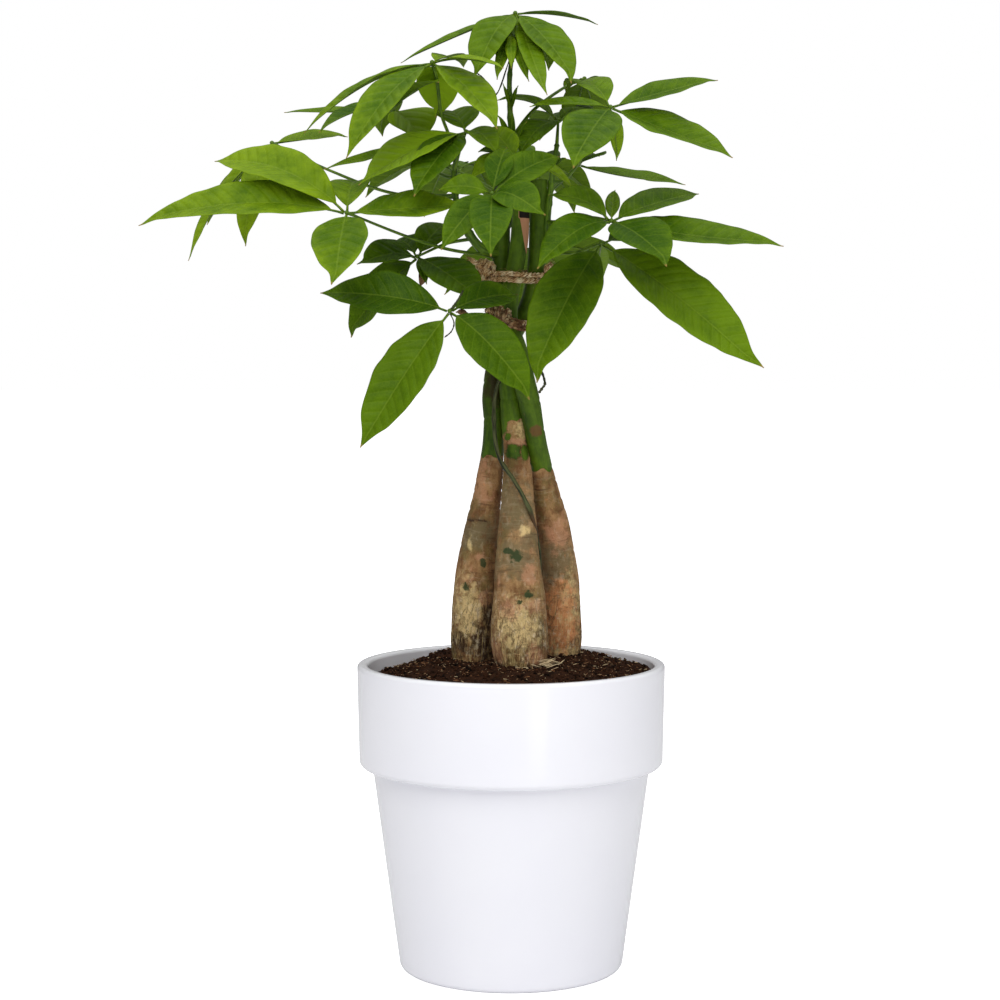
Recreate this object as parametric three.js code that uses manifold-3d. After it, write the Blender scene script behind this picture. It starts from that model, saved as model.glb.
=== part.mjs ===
// A potted money tree: three swollen trunks tied together with jute, their green shoots
// and hand-shaped leaves, in soil in a white glazed pot with a deep collar.
// Millimetres, +Z up. The origin is the centre of the pot's base, on the surface it stands on,
// and -Y is the plant's front.
import * as THREE from "three";
import { mergeVertices } from "three/addons/utils/BufferGeometryUtils.js";
import Module from "manifold-3d";

const wasm = await Module();
wasm.setup();

// ---- driving dimensions ----
const pot = {
  height: 189.3,
  baseRadius: 68.9,
  bodyTopRadius: 85.8, // just under the collar
  collarFoot: 126.4, // height of the collar's lower edge
  collarFootRadius: 93.8,
  rimRadius: 95,
  wall: 6.6,
  floor: 6,
  edgeRound: 3.5,
  lipRound: 2.4,
  facets: 44,
};
const soil = {
  wallHeight: 181, // where it meets the pot's inner wall
  crownHeight: 189.6, // heaped round the trunks
  crownRadius: 36,
  lean: 2.2, // heaped higher towards the back right
  lump: 0.7, // height of the small rises in it
  lumpPitch: 52, // from one rise to the next
};
const gap = 0.3; // between pieces that touch
const trunkSides = 12;
const stemSides = 8;
const stalkSides = 5;

// Each stem is a list of stations from its foot up: [x, y, z, radius].
const trunks = {
  trunk_left: [
    [-24, 16, 164, 11.5], [-24, 16, 190, 14.3], [-24, 15, 204, 14.6], [-23, 15, 235, 13.6],
    [-20, 14, 262, 11.8], [-16, 12, 290, 8.6], [-13, 10, 314, 6.9], [-11, 9, 335, 6.1],
    [-10, 11, 354, 5.6], [-7, 15, 374, 5.5], [1, 15, 391, 5.5], [9, 12, 406, 5.5],
    [14, 7, 421, 5.5], [16, 5, 440, 5.5], [17, 5, 466, 5.4], [17, 5, 486, 5.2],
  ],
  trunk_front: [
    [6, -12, 162, 13], [6, -13, 188, 17.4], [5, -13, 203, 18.2], [5, -11, 228, 16],
    [4, -8, 254, 13.2], [4, -5, 282, 10.3], [4, -2, 306, 8.4], [3, 0, 322, 7.1],
    [1, 1, 341, 7.4], [-1, 2, 356, 5.9], [-3.5, 3.5, 381, 5.5], [-7, 4, 400, 5.5],
    [-7, 6, 418, 5.5], [-6, 7, 440, 5.4], [-6, 8, 460, 5.3],
  ],
  trunk_right: [
    [31, 30, 164, 12], [31, 30, 192, 14.4], [31, 29, 214, 14.3], [30, 25, 241, 13],
    [27, 19, 268, 11], [22.5, 13, 292, 8.8], [20, 8, 308, 6.6], [14.5, -3, 335, 5.8],
    [9, -7, 355, 5.6], [4, -9, 376, 5.5], [-1, -8.5, 394, 5.5], [-1, -6, 412, 5.5],
    [2, -4, 430, 5.5], [5, -4, 448, 5.4], [6, -4, 468, 5.2],
  ],
};
const slenderStem = [
  [22, 5, 166, 1.5], [23, 4, 190, 1.5], [21, 3, 228, 1.5], [18, -1.5, 258, 1.5], [13, -13.5, 280, 1.5],
  [8, -17, 292, 1.5], [1, -14.5, 304, 1.5], [-6, -11.5, 314, 1.5], [-9.5, -7.5, 326, 1.5],
  [-10.5, -5.5, 344, 1.4], [-9, -5.5, 358, 1.3], [-5, -1, 368, 1.2],
];
// The green shoots start inside a trunk, just under its cut top.
const shoots = {
  left: [
    [-8, 5, 441, 3.2], [-17, 0, 443, 3.2], [-25, -2, 452, 3], [-31, -2, 464, 2.7], [-34, 0, 476, 2.4],
    [-35, 1, 486, 2.1], [-34, 2, 497, 1.8],
  ],
  centre: [
    [-6, 8, 450, 3], [-2, 12, 461, 3], [2, 11, 473, 2.8], [2, 6, 494, 2.5], [0, 5, 515, 2.3],
    [-1, 3, 545, 1.9], [1, 0, 564, 1.5], [1, -7, 572, 1.3],
  ],
  right: [
    [16, 5, 438, 3], [23, 3, 445, 3], [22, 2, 460, 2.8], [24, 3, 479, 2.4], [26, 6, 494, 2.1],
    [28, 9, 507, 1.8],
  ],
  back: [
    [17, 5, 445, 3], [16, 20, 451, 3], [14, 38, 459, 2.7], [12, 52, 474, 2.3], [9, 64, 488, 1.8],
  ],
};
const twine = {
  radius: 1.6,
  sides: 5,
  pitch: 3.9, // height from one turn to the next
  stepsPerTurn: 16,
  knotRadius: 4.2,
  wraps: {
    twine_upper: { height: 427.5, turns: 2, start: 215, tails: [[-24, -12, 436], [-19, -17, 424]] },
    twine_lower: { height: 400.5, turns: 2, start: 240, tails: [[-18, -17, 394], [6, -21, 394]] },
  },
};

const leafShape = {
  blade: 0.9, // thickness
  root: 1.6, // thickness where it joins the others
  fold: 14, // degrees that each half rises from the midrib
  wave: 0.05, // rise and fall of the edge, as a share of the half width
  waveRate: 7,
  archLead: 0.85, // under 1, the arch is highest nearer the hub
  stalkRadius: [1.7, 1.1], // at the shoot, at the leaflets
  hubRadius: 3,
  rootInset: 1.5, // how far from the hub's centre a leaflet begins
  leastWidth: 1.9,
  stalkShare: 0.06,
  broad: 26, // a leaflet wider than this has the finer outline
  fineRings: [0, 0.07, 0.3, 0.54, 0.79, 1],
  plainRings: [0, 0.07, 0.37, 0.7, 1],
};

const green = { fresh: 0x86b01f, mid: 0x4f8f1e, deep: 0x2f6a1c };

// Leaflet: [tip x, y, z, width, arch above the straight line].
// face is the way that the leaf's upper side looks.
// from is the stem that the leaf grows on, and how far up it.
const leaves = [
  {
    name: "leaf_left_long", tint: "fresh", from: ["left", 0.04], via: [[-24, -4, 441], [-43, -17, 444], [-66, -36, 451]],
    hub: [-97, -48, 463], face: [-0.1, -0.6, 0.8],
    leaflets: [
      [-219, -40, 455, 32, 12], [-176, -8, 492, 36, 16], [-93, 6, 484, 26, 8],
      [-30, -45, 468, 26, 0], [-102, -100, 420, 33, 3],
    ],
  },
  {
    name: "leaf_left_hanging", tint: "fresh", from: ["left", 0.66], via: [[-73, 22, 479], [-112, 24, 493]],
    hub: [-148, 22, 510], face: [0, -0.35, 0.94],
    leaflets: [
      [-202, 34, 439, 24, 12], [-164, 0, 446, 19, 10], [-106, 40, 480, 26, 8],
      [-158, 88, 476, 26, 0], [-196, 76, 464, 24, 2],
    ],
  },
  {
    name: "leaf_left_low", tint: "deep", from: ["left", 0.3], via: [[-40, 4, 447]],
    hub: [-57, -4, 439], face: [0.05, -0.55, 0.83],
    leaflets: [
      [-92, -20, 434, 26, 4], [-77, 38, 448, 22, 6], [-100, 8, 392, 32, 2],
      [-51, -20, 422, 7, 1], [-13, -38, 416, 32, 2], [-45, 36, 450, 22, 6],
    ],
  },
  {
    name: "leaf_low_broad", tint: "deep", from: ["trunk_front", 0.845], via: [[-16, -12, 417], [-25, -34, 416]],
    hub: [-36, -58, 405], face: [-0.1, -0.75, 0.66],
    leaflets: [
      [-111, -50, 415, 30, 6], [-88, -72, 327, 36, 3], [12, -76, 355, 32, 8],
      [5, -38, 414, 22, 6],
    ],
  },
  {
    name: "leaf_front", tint: "mid", from: ["centre", 0.3], via: [[-2, -30, 483], [-7, -50, 480]],
    hub: [-11, -66, 473], face: [0, -0.8, 0.6],
    leaflets: [
      [-12, -112, 434, 26, 6], [-3, -44, 502, 17, 4], [-42, -62, 476, 16, 4],
      [-40, -92, 440, 20, 5], [29, -42, 497, 23, 5], [18, -92, 459, 24, 6],
    ],
  },
  {
    name: "leaf_top_left", tint: "fresh", from: ["left", 1], via: [[-37, -10, 510], [-42, -18, 524], [-44, -27, 542]],
    hub: [-47, -30, 553], face: [0, -0.25, 0.97],
    leaflets: [
      [-124, -30, 512, 20, 10], [-95, -72, 494, 30, 7], [-5, -72, 508, 30, 7],
      [8, -66, 545, 18, 8], [-28, 26, 553, 18, 4], [-88, 14, 540, 20, 5],
    ],
  },
  {
    name: "leaf_top", tint: "mid", from: ["centre", 0.8], via: [[4, 4, 566]],
    hub: [3, 2, 585], face: [0, -0.2, 0.98],
    leaflets: [
      [-63, -8, 555, 20, 3], [-21, -33, 545, 28, 6], [38, -40, 541, 28, 4],
      [19, -64, 531, 18, 4], [53, 12, 580, 18, 2], [-7, 62, 566, 24, 12],
      [26, 58, 562, 24, 12],
    ],
  },
  {
    name: "leaf_young", tint: "fresh", from: ["centre", 0.97], via: [],
    hub: [0, -13, 573], face: [0, -0.6, 0.8],
    leaflets: [
      [-9, -20, 543, 9, 2], [0, -28, 549, 8, 2], [10, -20, 541, 9, 2],
    ],
  },
  {
    name: "leaf_right_high", tint: "mid", from: ["right", 0.66], via: [[35, -2, 488], [49, -20, 508]],
    hub: [59, -36, 526], face: [0.05, -0.45, 0.89],
    leaflets: [
      [123, -28, 544, 24, 0], [130, -56, 495, 30, 4], [35, 22, 545, 26, 8],
      [11, -36, 527, 20, 5], [34, -86, 486, 34, 4], [58, 4, 495, 18, 2],
    ],
  },
  {
    name: "leaf_right_long", tint: "mid", from: ["right", 0.4], via: [[34, -14, 460], [47, -34, 461]],
    hub: [59, -52, 458], face: [0, -0.5, 0.86],
    leaflets: [
      [158, -50, 445, 32, -3], [114, -18, 477, 28, 2], [62, 4, 476, 12, 3],
      [22, -46, 474, 24, 5], [15, -88, 430, 28, 7], [90, -98, 432, 34, 3],
    ],
  },
  {
    name: "leaf_right_broad", tint: "mid", from: ["right", 0.14], via: [[38, -14, 441]],
    hub: [54, -28, 446], face: [0, -0.72, 0.7],
    leaflets: [
      [146, -66, 371, 38, 5], [12, -62, 364, 42, 8], [57, 44, 426, 13, 3],
      [96, 22, 444, 24, 8],
    ],
  },
  {
    name: "leaf_right_middle", tint: "deep", from: ["right", 0.6], via: [[34, 18, 489]],
    hub: [42, 26, 497], face: [0, -0.3, 0.95],
    leaflets: [
      [108, 20, 485, 20, -1], [56, 80, 508, 22, 2],
    ],
  },
  {
    name: "leaf_centre_left", tint: "mid", from: ["left", 0.92], via: [[-31, -10, 503]],
    hub: [-27, -20, 513], face: [-0.05, -0.45, 0.89],
    leaflets: [
      [-113, -10, 492, 24, -1], [-89, -50, 480, 34, 4], [-56, -62, 472, 28, 4],
      [-31, 22, 526, 26, 6], [-8, -48, 498, 18, 5],
    ],
  },
  {
    name: "leaf_left_high", tint: "mid", from: ["left", 0.84], via: [[-46, 8, 492], [-60, 12, 512]],
    hub: [-73, 16, 530], face: [0, -0.3, 0.95],
    leaflets: [
      [-140, 18, 527, 20, -1], [-120, -6, 510, 24, 8], [-49, 6, 512, 34, 6],
      [-40, 36, 549, 20, 6], [-92, 72, 520, 26, 10],
    ],
  },
  {
    name: "leaf_centre", tint: "fresh", from: ["centre", 0.42], via: [[4, -14, 488]],
    hub: [3, -30, 494], face: [0, -0.5, 0.86],
    leaflets: [
      [38, -20, 478, 18, 5], [-16, -8, 517, 20, 4], [-24, -38, 484, 18, 5],
    ],
  },
  {
    name: "leaf_right_inner", tint: "deep", from: ["right", 1], via: [],
    hub: [29, 14, 523], face: [0, -0.25, 0.97],
    leaflets: [
      [-8, 18, 537, 20, 5], [50, -6, 527, 17, 4], [5, -16, 500, 24, 5],
      [62, 62, 515, 24, 10], [20, 76, 518, 26, 10],
    ],
  },
  {
    name: "leaf_right_back_high", tint: "mid", from: ["centre", 0.55], via: [[14, 20, 530], [34, 36, 546]],
    hub: [46, 44, 552], face: [0, -0.1, 1],
    leaflets: [
      [61, 44, 548, 12, 2], [34, 38, 543, 14, 2], [38, 108, 524, 26, 3], [68, 102, 522, 26, 3],
    ],
  },
  {
    name: "leaf_back_left", tint: "deep", from: ["back", 0.6], via: [[-12, 56, 484]],
    hub: [-34, 66, 496], face: [0, 0.2, 0.97],
    leaflets: [
      [-96, 104, 484, 30, 12], [-58, 152, 474, 34, 14], [-10, 140, 478, 30, 14],
      [-88, 48, 504, 24, 8],
    ],
  },
  {
    name: "leaf_back_right", tint: "mid", from: ["back", 1], via: [],
    hub: [12, 84, 500], face: [0, 0.2, 0.97],
    leaflets: [
      [-14, 132, 508, 26, 10], [20, 168, 484, 34, 16], [62, 142, 482, 30, 14], [74, 96, 496, 24, 10],
    ],
  },
  {
    name: "leaf_back_low", tint: "deep", from: ["back", 0.4], via: [[14, 60, 452]],
    hub: [16, 78, 448], face: [0, 0.45, 0.89],
    leaflets: [
      [-44, 108, 420, 30, 8], [4, 146, 398, 36, 10], [54, 132, 402, 32, 10], [80, 82, 432, 26, 8],
    ],
  },
];

const stems = { ...trunks, ...shoots };

// ---- shaping ----

// A closed solid from a three.js geometry: shared vertices merged, faces of no area dropped.
function solidOf(geometry) {
  const bare = new THREE.BufferGeometry();
  bare.setAttribute("position", geometry.getAttribute("position").clone());
  if (geometry.index) bare.setIndex(geometry.index.clone());
  const merged = mergeVertices(bare, 1e-4);
  const index = merged.index.array;
  const faces = [];
  for (let i = 0; i < index.length; i += 3) {
    const [a, b, c] = [index[i], index[i + 1], index[i + 2]];
    if (a !== b && b !== c && c !== a) faces.push(a, b, c);
  }
  const mesh = new wasm.Mesh({
    numProp: 3,
    vertProperties: new Float32Array(merged.getAttribute("position").array),
    triVerts: new Uint32Array(faces),
  });
  return new wasm.Manifold(mesh);
}

function geometryOf(solid) {
  const mesh = solid.getMesh();
  const geometry = new THREE.BufferGeometry();
  geometry.setAttribute("position", new THREE.BufferAttribute(mesh.vertProperties, 3));
  geometry.setIndex(new THREE.BufferAttribute(mesh.triVerts, 1));
  return geometry;
}

const joined = (solids) => solids.reduce((all, one) => all.add(one));
// What a cut leaves of a piece, without its loose scraps.
const withoutScraps = (solid) => solid.decompose().reduce((most, one) => (one.volume() > most.volume() ? one : most));
const vector = ([x, y, z]) => new THREE.Vector3(x, y, z);

// The radius part way along a list of stations, and the smooth curve through their centres.
function radiusAt(stations, u) {
  const place = Math.min(u * (stations.length - 1), stations.length - 1 - 1e-9);
  const i = Math.floor(place);
  return THREE.MathUtils.lerp(stations[i][3], stations[i + 1][3], place - i);
}
const curveThrough = (stations) => new THREE.CatmullRomCurve3(stations.map(vector), false, "catmullrom", 0.5);

// A round rod turned on a lathe, then bent along a curve; swell adds to its radius all over.
function rod(stations, sides, rings = stations.length - 1, swell = 0) {
  const curve = curveThrough(stations);
  const profile = [new THREE.Vector2(0, 0)];
  for (let i = 0; i <= rings; i++) profile.push(new THREE.Vector2(1, i / rings));
  profile.push(new THREE.Vector2(0, 1));
  const geometry = new THREE.LatheGeometry(profile, sides);
  const frames = steadyFrames(curve, rings);
  const position = geometry.getAttribute("position");
  for (let i = 0; i < position.count; i++) {
    const u = position.getY(i);
    const { side, up } = frames[Math.round(u * rings)];
    const radius = radiusAt(stations, u) + swell;
    const point = curve.getPoint(u)
      .addScaledVector(side, position.getX(i) * radius)
      .addScaledVector(up, position.getZ(i) * radius);
    position.setXYZ(i, point.x, point.y, point.z);
  }
  return solidOf(geometry);
}

// Frames that turn with the curve and don't twist about it.
function steadyFrames(curve, rings) {
  const frames = [];
  let side = new THREE.Vector3(1, 0, 0);
  for (let i = 0; i <= rings; i++) {
    const along = curve.getTangent(i / rings);
    if (i === 0 && Math.abs(along.x) > 0.8) side = new THREE.Vector3(0, 1, 0);
    side = side.clone().addScaledVector(along, -side.dot(along)).normalize();
    frames.push({ side, up: side.clone().cross(along).normalize() });
  }
  return frames;
}

// ---- pot and soil ----

function potSolid() {
  const { height, baseRadius, bodyTopRadius, collarFoot, collarFootRadius, rimRadius } = pot;
  const { wall, floor, edgeRound, lipRound, facets } = pot;
  const outline = new THREE.Path();
  outline.moveTo(0, 0);
  outline.lineTo(baseRadius - edgeRound, 0);
  outline.quadraticCurveTo(baseRadius, 0, baseRadius + 0.4, edgeRound);
  outline.lineTo(bodyTopRadius, collarFoot);
  outline.lineTo(collarFootRadius - edgeRound, collarFoot);
  outline.quadraticCurveTo(collarFootRadius, collarFoot, collarFootRadius + 0.1, collarFoot + edgeRound);
  outline.lineTo(rimRadius, height - lipRound);
  outline.quadraticCurveTo(rimRadius, height, rimRadius - lipRound, height);
  outline.lineTo(rimRadius - wall + lipRound, height);
  outline.quadraticCurveTo(rimRadius - wall, height, rimRadius - wall, height - lipRound);
  outline.lineTo(collarFootRadius - wall, collarFoot + edgeRound);
  outline.lineTo(bodyTopRadius - wall, collarFoot - edgeRound);
  outline.lineTo(baseRadius - wall + 0.4, floor);
  outline.lineTo(0, floor);
  return solidOf(new THREE.LatheGeometry(outline.getPoints(2), facets).rotateX(Math.PI / 2));
}

// Heaped soil: highest round the trunks, lowest at the pot's wall, with small hollows.
function soilTop(x, y) {
  const wallRadius = pot.rimRadius - pot.wall;
  const out = THREE.MathUtils.smoothstep(Math.hypot(x, y), soil.crownRadius, wallRadius);
  const heap = THREE.MathUtils.lerp(soil.crownHeight, soil.wallHeight, out);
  const lean = soil.lean * out * (x + y) / wallRadius;
  const turn = (2 * Math.PI) / soil.lumpPitch;
  return heap + lean + soil.lump * Math.sin(x * turn + 1) * Math.cos(y * turn);
}

function soilSolid() {
  const { wall, floor, height, lipRound, collarFoot, collarFootRadius, edgeRound } = pot;
  const topRadius = pot.rimRadius - wall - gap;
  const topHeight = soil.wallHeight;
  const share = (topHeight - collarFoot - edgeRound) / (height - lipRound - collarFoot - edgeRound);
  const wallTop = THREE.MathUtils.lerp(collarFootRadius, pot.rimRadius, share) - wall - gap;
  const outline = [
    [0, floor + gap],
    [pot.baseRadius - wall - gap, floor + gap],
    [pot.bodyTopRadius - wall - gap - 0.1, collarFoot - edgeRound + gap],
    [collarFootRadius - wall - gap - 0.1, collarFoot + edgeRound + gap],
    [Math.min(wallTop, topRadius), topHeight],
    [66, topHeight + 1], [44, topHeight + 2], [22, topHeight + 3], [0, topHeight + 4],
  ];
  const geometry = new THREE.LatheGeometry(outline.map(([r, z]) => new THREE.Vector2(r, z)), pot.facets);
  geometry.rotateX(Math.PI / 2);
  const position = geometry.getAttribute("position");
  for (let i = 0; i < position.count; i++) {
    if (position.getZ(i) < topHeight - 1e-3) continue;
    position.setZ(i, soilTop(position.getX(i), position.getY(i)));
  }
  return solidOf(geometry);
}

// ---- twine ----

// The point of the tied bundle furthest out in a direction, at a height, and just clear of it.
function bundleEdge(angle, height, clear) {
  const way = new THREE.Vector2(Math.cos(angle), Math.sin(angle));
  let best = null;
  let reach = -Infinity;
  for (const stations of Object.values(trunks)) {
    const centre = stationAtHeight(stations, height);
    const span = centre.x * way.x + centre.y * way.y + centre.radius;
    if (span > reach) {
      reach = span;
      const out = centre.radius + clear;
      best = [centre.x + way.x * out, centre.y + way.y * out, height];
    }
  }
  return best;
}

function stationAtHeight(stations, height) {
  const next = Math.max(1, stations.findIndex((station) => station[2] >= height));
  const [low, high] = [stations[next - 1], stations[next]];
  const share = (height - low[2]) / (high[2] - low[2]);
  const at = (k) => THREE.MathUtils.lerp(low[k], high[k], share);
  return { x: at(0), y: at(1), radius: at(3) };
}

function twineSolid({ height, turns, start, tails }) {
  const steps = turns * twine.stepsPerTurn;
  const path = [];
  for (let i = 0; i <= steps; i++) {
    const share = i / steps;
    const angle = THREE.MathUtils.degToRad(start + 360 * turns * share);
    const level = height + twine.pitch * turns * (share - 0.5);
    path.push([...bundleEdge(angle, level, twine.radius + 2 * gap), twine.radius]);
  }
  const knot = bundleEdge(THREE.MathUtils.degToRad(start), height, twine.radius + 2 * gap);
  const knotBall = new THREE.SphereGeometry(twine.knotRadius, 8, 6);
  knotBall.translate(...knot);
  const ends = tails.map((tip) => rod([[...knot, twine.radius], [...tip, twine.radius]], twine.sides));
  return joined([rod(path, twine.sides), solidOf(knotBall), ...ends]);
}

// ---- leaves ----

// Half way out a leaflet is at its full width; it narrows to a short stalk and to a drawn-out tip.
function pointedOval(t) {
  const past = Math.max(t - leafShape.stalkShare, 0) / (1 - leafShape.stalkShare);
  return (past ** 1.2 * (1 - past) ** 1.1) / 0.203;
}

// One leaflet: a thin sheet folded up along its midrib, arched from the hub to the tip.
function leafletSolid(hub, [x, y, z, width, arch], face, wavePhase) {
  const rings = width > leafShape.broad ? leafShape.fineRings : leafShape.plainRings;
  const tip = new THREE.Vector3(x, y, z);
  const along = tip.clone().sub(vector(hub)).normalize();
  const start = vector(hub).addScaledVector(along, leafShape.rootInset);
  const reach = tip.sub(start);
  const up = vector(face).addScaledVector(along, -vector(face).dot(along)).normalize();
  const midrib = (t) => start.clone().addScaledVector(reach, t)
    .addScaledVector(up, arch * Math.sin(Math.PI * t ** leafShape.archLead));
  const fold = Math.tan(THREE.MathUtils.degToRad(leafShape.fold));
  const sheets = [1, -1].map((over) => {
    const sheet = [];
    rings.forEach((t, i) => {
      const heading = midrib(Math.min(t + 0.02, 1)).sub(midrib(Math.max(t - 0.02, 0))).normalize();
      const normal = up.clone().addScaledVector(heading, -up.dot(heading)).normalize();
      const sideways = heading.clone().cross(normal).normalize();
      const half = Math.max(width * pointedOval(t), leafShape.leastWidth) / 2;
      const thick = (i === 0 ? leafShape.root : leafShape.blade) / 2;
      for (const k of [-1, 0, 1]) {
        const wave = leafShape.wave * k * Math.sin(leafShape.waveRate * t + wavePhase);
        const lift = half * (fold * Math.abs(k) + wave);
        sheet.push(midrib(t).addScaledVector(sideways, half * k).addScaledVector(normal, lift + over * thick));
      }
    });
    return sheet;
  });
  return solidOf(closedSheet(sheets[0], sheets[1], 3, rings.length));
}

// Two matching grids of points, split into triangles alike, closed all round.
function closedSheet(top, bottom, columns, rows) {
  const positions = [...top, ...bottom].flatMap((p) => [p.x, p.y, p.z]);
  const under = top.length;
  const faces = [];
  const quad = (a, b, c, d) => faces.push(a, b, c, a, c, d);
  const at = (row, column) => row * columns + column;
  for (let row = 0; row < rows - 1; row++) {
    for (let column = 0; column < columns - 1; column++) {
      const [a, b] = [at(row, column), at(row, column + 1)];
      const [c, d] = [at(row + 1, column + 1), at(row + 1, column)];
      faces.push(a, b, c, a, c, d);
      faces.push(under + a, under + c, under + b, under + a, under + d, under + c);
    }
    const [left, leftNext] = [at(row, 0), at(row + 1, 0)];
    const [right, rightNext] = [at(row, columns - 1), at(row + 1, columns - 1)];
    quad(left, leftNext, under + leftNext, under + left);
    quad(right, under + right, under + rightNext, rightNext);
  }
  for (let column = 0; column < columns - 1; column++) {
    const [near, nearNext] = [at(0, column), at(0, column + 1)];
    const [far, farNext] = [at(rows - 1, column), at(rows - 1, column + 1)];
    quad(near, under + near, under + nearNext, nearNext);
    quad(far, farNext, under + farNext, under + far);
  }
  const geometry = new THREE.BufferGeometry();
  geometry.setAttribute("position", new THREE.Float32BufferAttribute(positions, 3));
  geometry.setIndex(faces);
  return geometry;
}

function leafSolid({ from, via, hub, face, leaflets }, order) {
  const [stem, share] = from;
  const root = curveThrough(stems[stem]).getPoint(share).toArray();
  const [thick, thin] = leafShape.stalkRadius;
  const points = [root, ...via, hub];
  const stalk = points.map((p, i) => [...p, THREE.MathUtils.lerp(thick, thin, i / (points.length - 1))]);
  const node = new THREE.OctahedronGeometry(leafShape.hubRadius);
  node.translate(...hub);
  const blades = leaflets.map((leaflet, i) => leafletSolid(hub, leaflet, face, order * 1.7 + i * 2.3));
  return joined([rod(stalk, stalkSides, 4), solidOf(node), ...blades]);
}

// ---- the whole plant ----

const finishes = {
  glaze: new THREE.MeshStandardMaterial({ color: 0xf1f1f6, roughness: 0.15, metalness: 0 }),
  earth: new THREE.MeshStandardMaterial({ color: 0x3a2418, roughness: 0.95, metalness: 0 }),
  bark: new THREE.MeshStandardMaterial({ color: 0xa98e6c, roughness: 0.8, metalness: 0 }),
  stem: new THREE.MeshStandardMaterial({ color: 0x4c7a26, roughness: 0.55, metalness: 0 }),
  driedStem: new THREE.MeshStandardMaterial({ color: 0x3d3f33, roughness: 0.8, metalness: 0 }),
  jute: new THREE.MeshStandardMaterial({ color: 0x9a7648, roughness: 0.9, metalness: 0 }),
};

const plant = new THREE.Group();

function addPiece(name, solid, finish) {
  const mesh = new THREE.Mesh(geometryOf(withoutScraps(solid)), finish.clone());
  mesh.name = name;
  plant.add(mesh);
}

const swollen = (stations, sides) => rod(stations, sides, stations.length - 1, gap);
const trunkSolids = {};
for (const [name, stations] of Object.entries(trunks)) {
  const neighbours = Object.keys(trunkSolids).map((other) => swollen(trunks[other], trunkSides));
  trunkSolids[name] = neighbours.reduce((solid, other) => solid.subtract(other), rod(stations, trunkSides));
}
const trunkRoom = joined(Object.values(trunks).map((stations) => swollen(stations, trunkSides)));
const slenderRoom = swollen(slenderStem, stemSides);

addPiece("pot", potSolid(), finishes.glaze);
addPiece("soil", soilSolid().subtract(trunkRoom).subtract(slenderRoom), finishes.earth);
for (const [name, solid] of Object.entries(trunkSolids)) addPiece(name, solid, finishes.bark);
addPiece("slender_stem", rod(slenderStem, stemSides).subtract(trunkRoom), finishes.driedStem);
for (const [name, wrap] of Object.entries(twine.wraps)) {
  addPiece(name, twineSolid(wrap).subtract(trunkRoom), finishes.jute);
}
for (const [name, stations] of Object.entries(shoots)) {
  addPiece(`shoot_${name}`, rod(stations, stemSides).subtract(trunkRoom), finishes.stem);
}
const shootRoom = joined(Object.values(shoots).map((stations) => swollen(stations, stemSides)));
leaves.forEach((leaf, order) => {
  const finish = new THREE.MeshStandardMaterial({ color: green[leaf.tint], roughness: 0.45, metalness: 0 });
  addPiece(leaf.name, leafSolid(leaf, order).subtract(shootRoom).subtract(trunkRoom), finish);
});

export default plant;
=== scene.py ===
# A potted money tree: the finished pot, soil, tied trunks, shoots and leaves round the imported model.
# The tables are in millimetres and degrees, and every mesh is in metres.
import math
import random

import bmesh
import bpy
from mathutils import Matrix, Vector, noise


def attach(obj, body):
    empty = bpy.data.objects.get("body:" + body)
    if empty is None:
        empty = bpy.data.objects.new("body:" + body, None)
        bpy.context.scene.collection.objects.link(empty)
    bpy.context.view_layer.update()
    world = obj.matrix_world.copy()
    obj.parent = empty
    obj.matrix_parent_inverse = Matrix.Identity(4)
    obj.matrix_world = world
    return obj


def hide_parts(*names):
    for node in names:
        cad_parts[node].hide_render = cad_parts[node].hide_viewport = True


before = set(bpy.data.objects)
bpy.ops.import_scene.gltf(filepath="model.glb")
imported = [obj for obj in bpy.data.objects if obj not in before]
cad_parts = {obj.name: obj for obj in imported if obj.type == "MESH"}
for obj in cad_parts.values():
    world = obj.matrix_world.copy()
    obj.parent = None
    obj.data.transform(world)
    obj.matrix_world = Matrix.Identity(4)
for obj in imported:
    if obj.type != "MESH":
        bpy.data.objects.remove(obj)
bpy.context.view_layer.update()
mm = 0.001
fullTurn = 2 * math.pi
gap = 0.3  # between pieces that touch


# Numbers and curves

def smoothStep(low, high, value):
    share = min(max((value - low) / (high - low), 0), 1)
    return share * share * (3 - 2 * share)


def between(a, b, share):
    return a + (b - a) * share


def stationAt(stations, u):  # the station below u, from 0 to 1, and the share of the way to the next one
    last = len(stations) - 1
    place = min(max(u, 0) * last, last - 1e-6)
    return int(place), place - int(place)


def curvePoint(stations, u):  # on the smooth curve through the stations
    i, t = stationAt(stations, u)
    here, there = Vector(stations[i][:3]), Vector(stations[i + 1][:3])
    before = Vector(stations[i - 1][:3]) if i > 0 else 2 * here - there
    after = Vector(stations[i + 2][:3]) if i + 2 < len(stations) else 2 * there - here
    leaving, arriving = (there - before) / 2, (after - here) / 2
    swing = (t ** 3 - 2 * t * t + t) * leaving + (t ** 3 - t * t) * arriving
    return between(here, there, 3 * t * t - 2 * t ** 3) + swing


def curveRadius(stations, u):
    i, t = stationAt(stations, u)
    return between(stations[i][3], stations[i + 1][3], t)


def stemPath(stations, steps, slim=(1, 1)):  # points and radii, thinned at the foot and above it by slim
    shares = [i / steps for i in range(steps + 1)]
    radii = [curveRadius(stations, u) * between(*slim, min(u * 2, 1)) * mm for u in shares]
    return [curvePoint(stations, u) * mm for u in shares], radii


def evenPoints(points, spacing):  # the same path, its points an even distance apart
    spread = [points[0]]
    travelled = 0.0
    for near, far in zip(points, points[1:]):
        span = (far - near).length
        while span > 1e-9 and travelled + span >= spacing:
            near = near.lerp(far, (spacing - travelled) / span)
            span = (far - near).length
            spread.append(near)
            travelled = 0.0
        travelled += span
    return spread + [points[-1]]


# Mesh making

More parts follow.
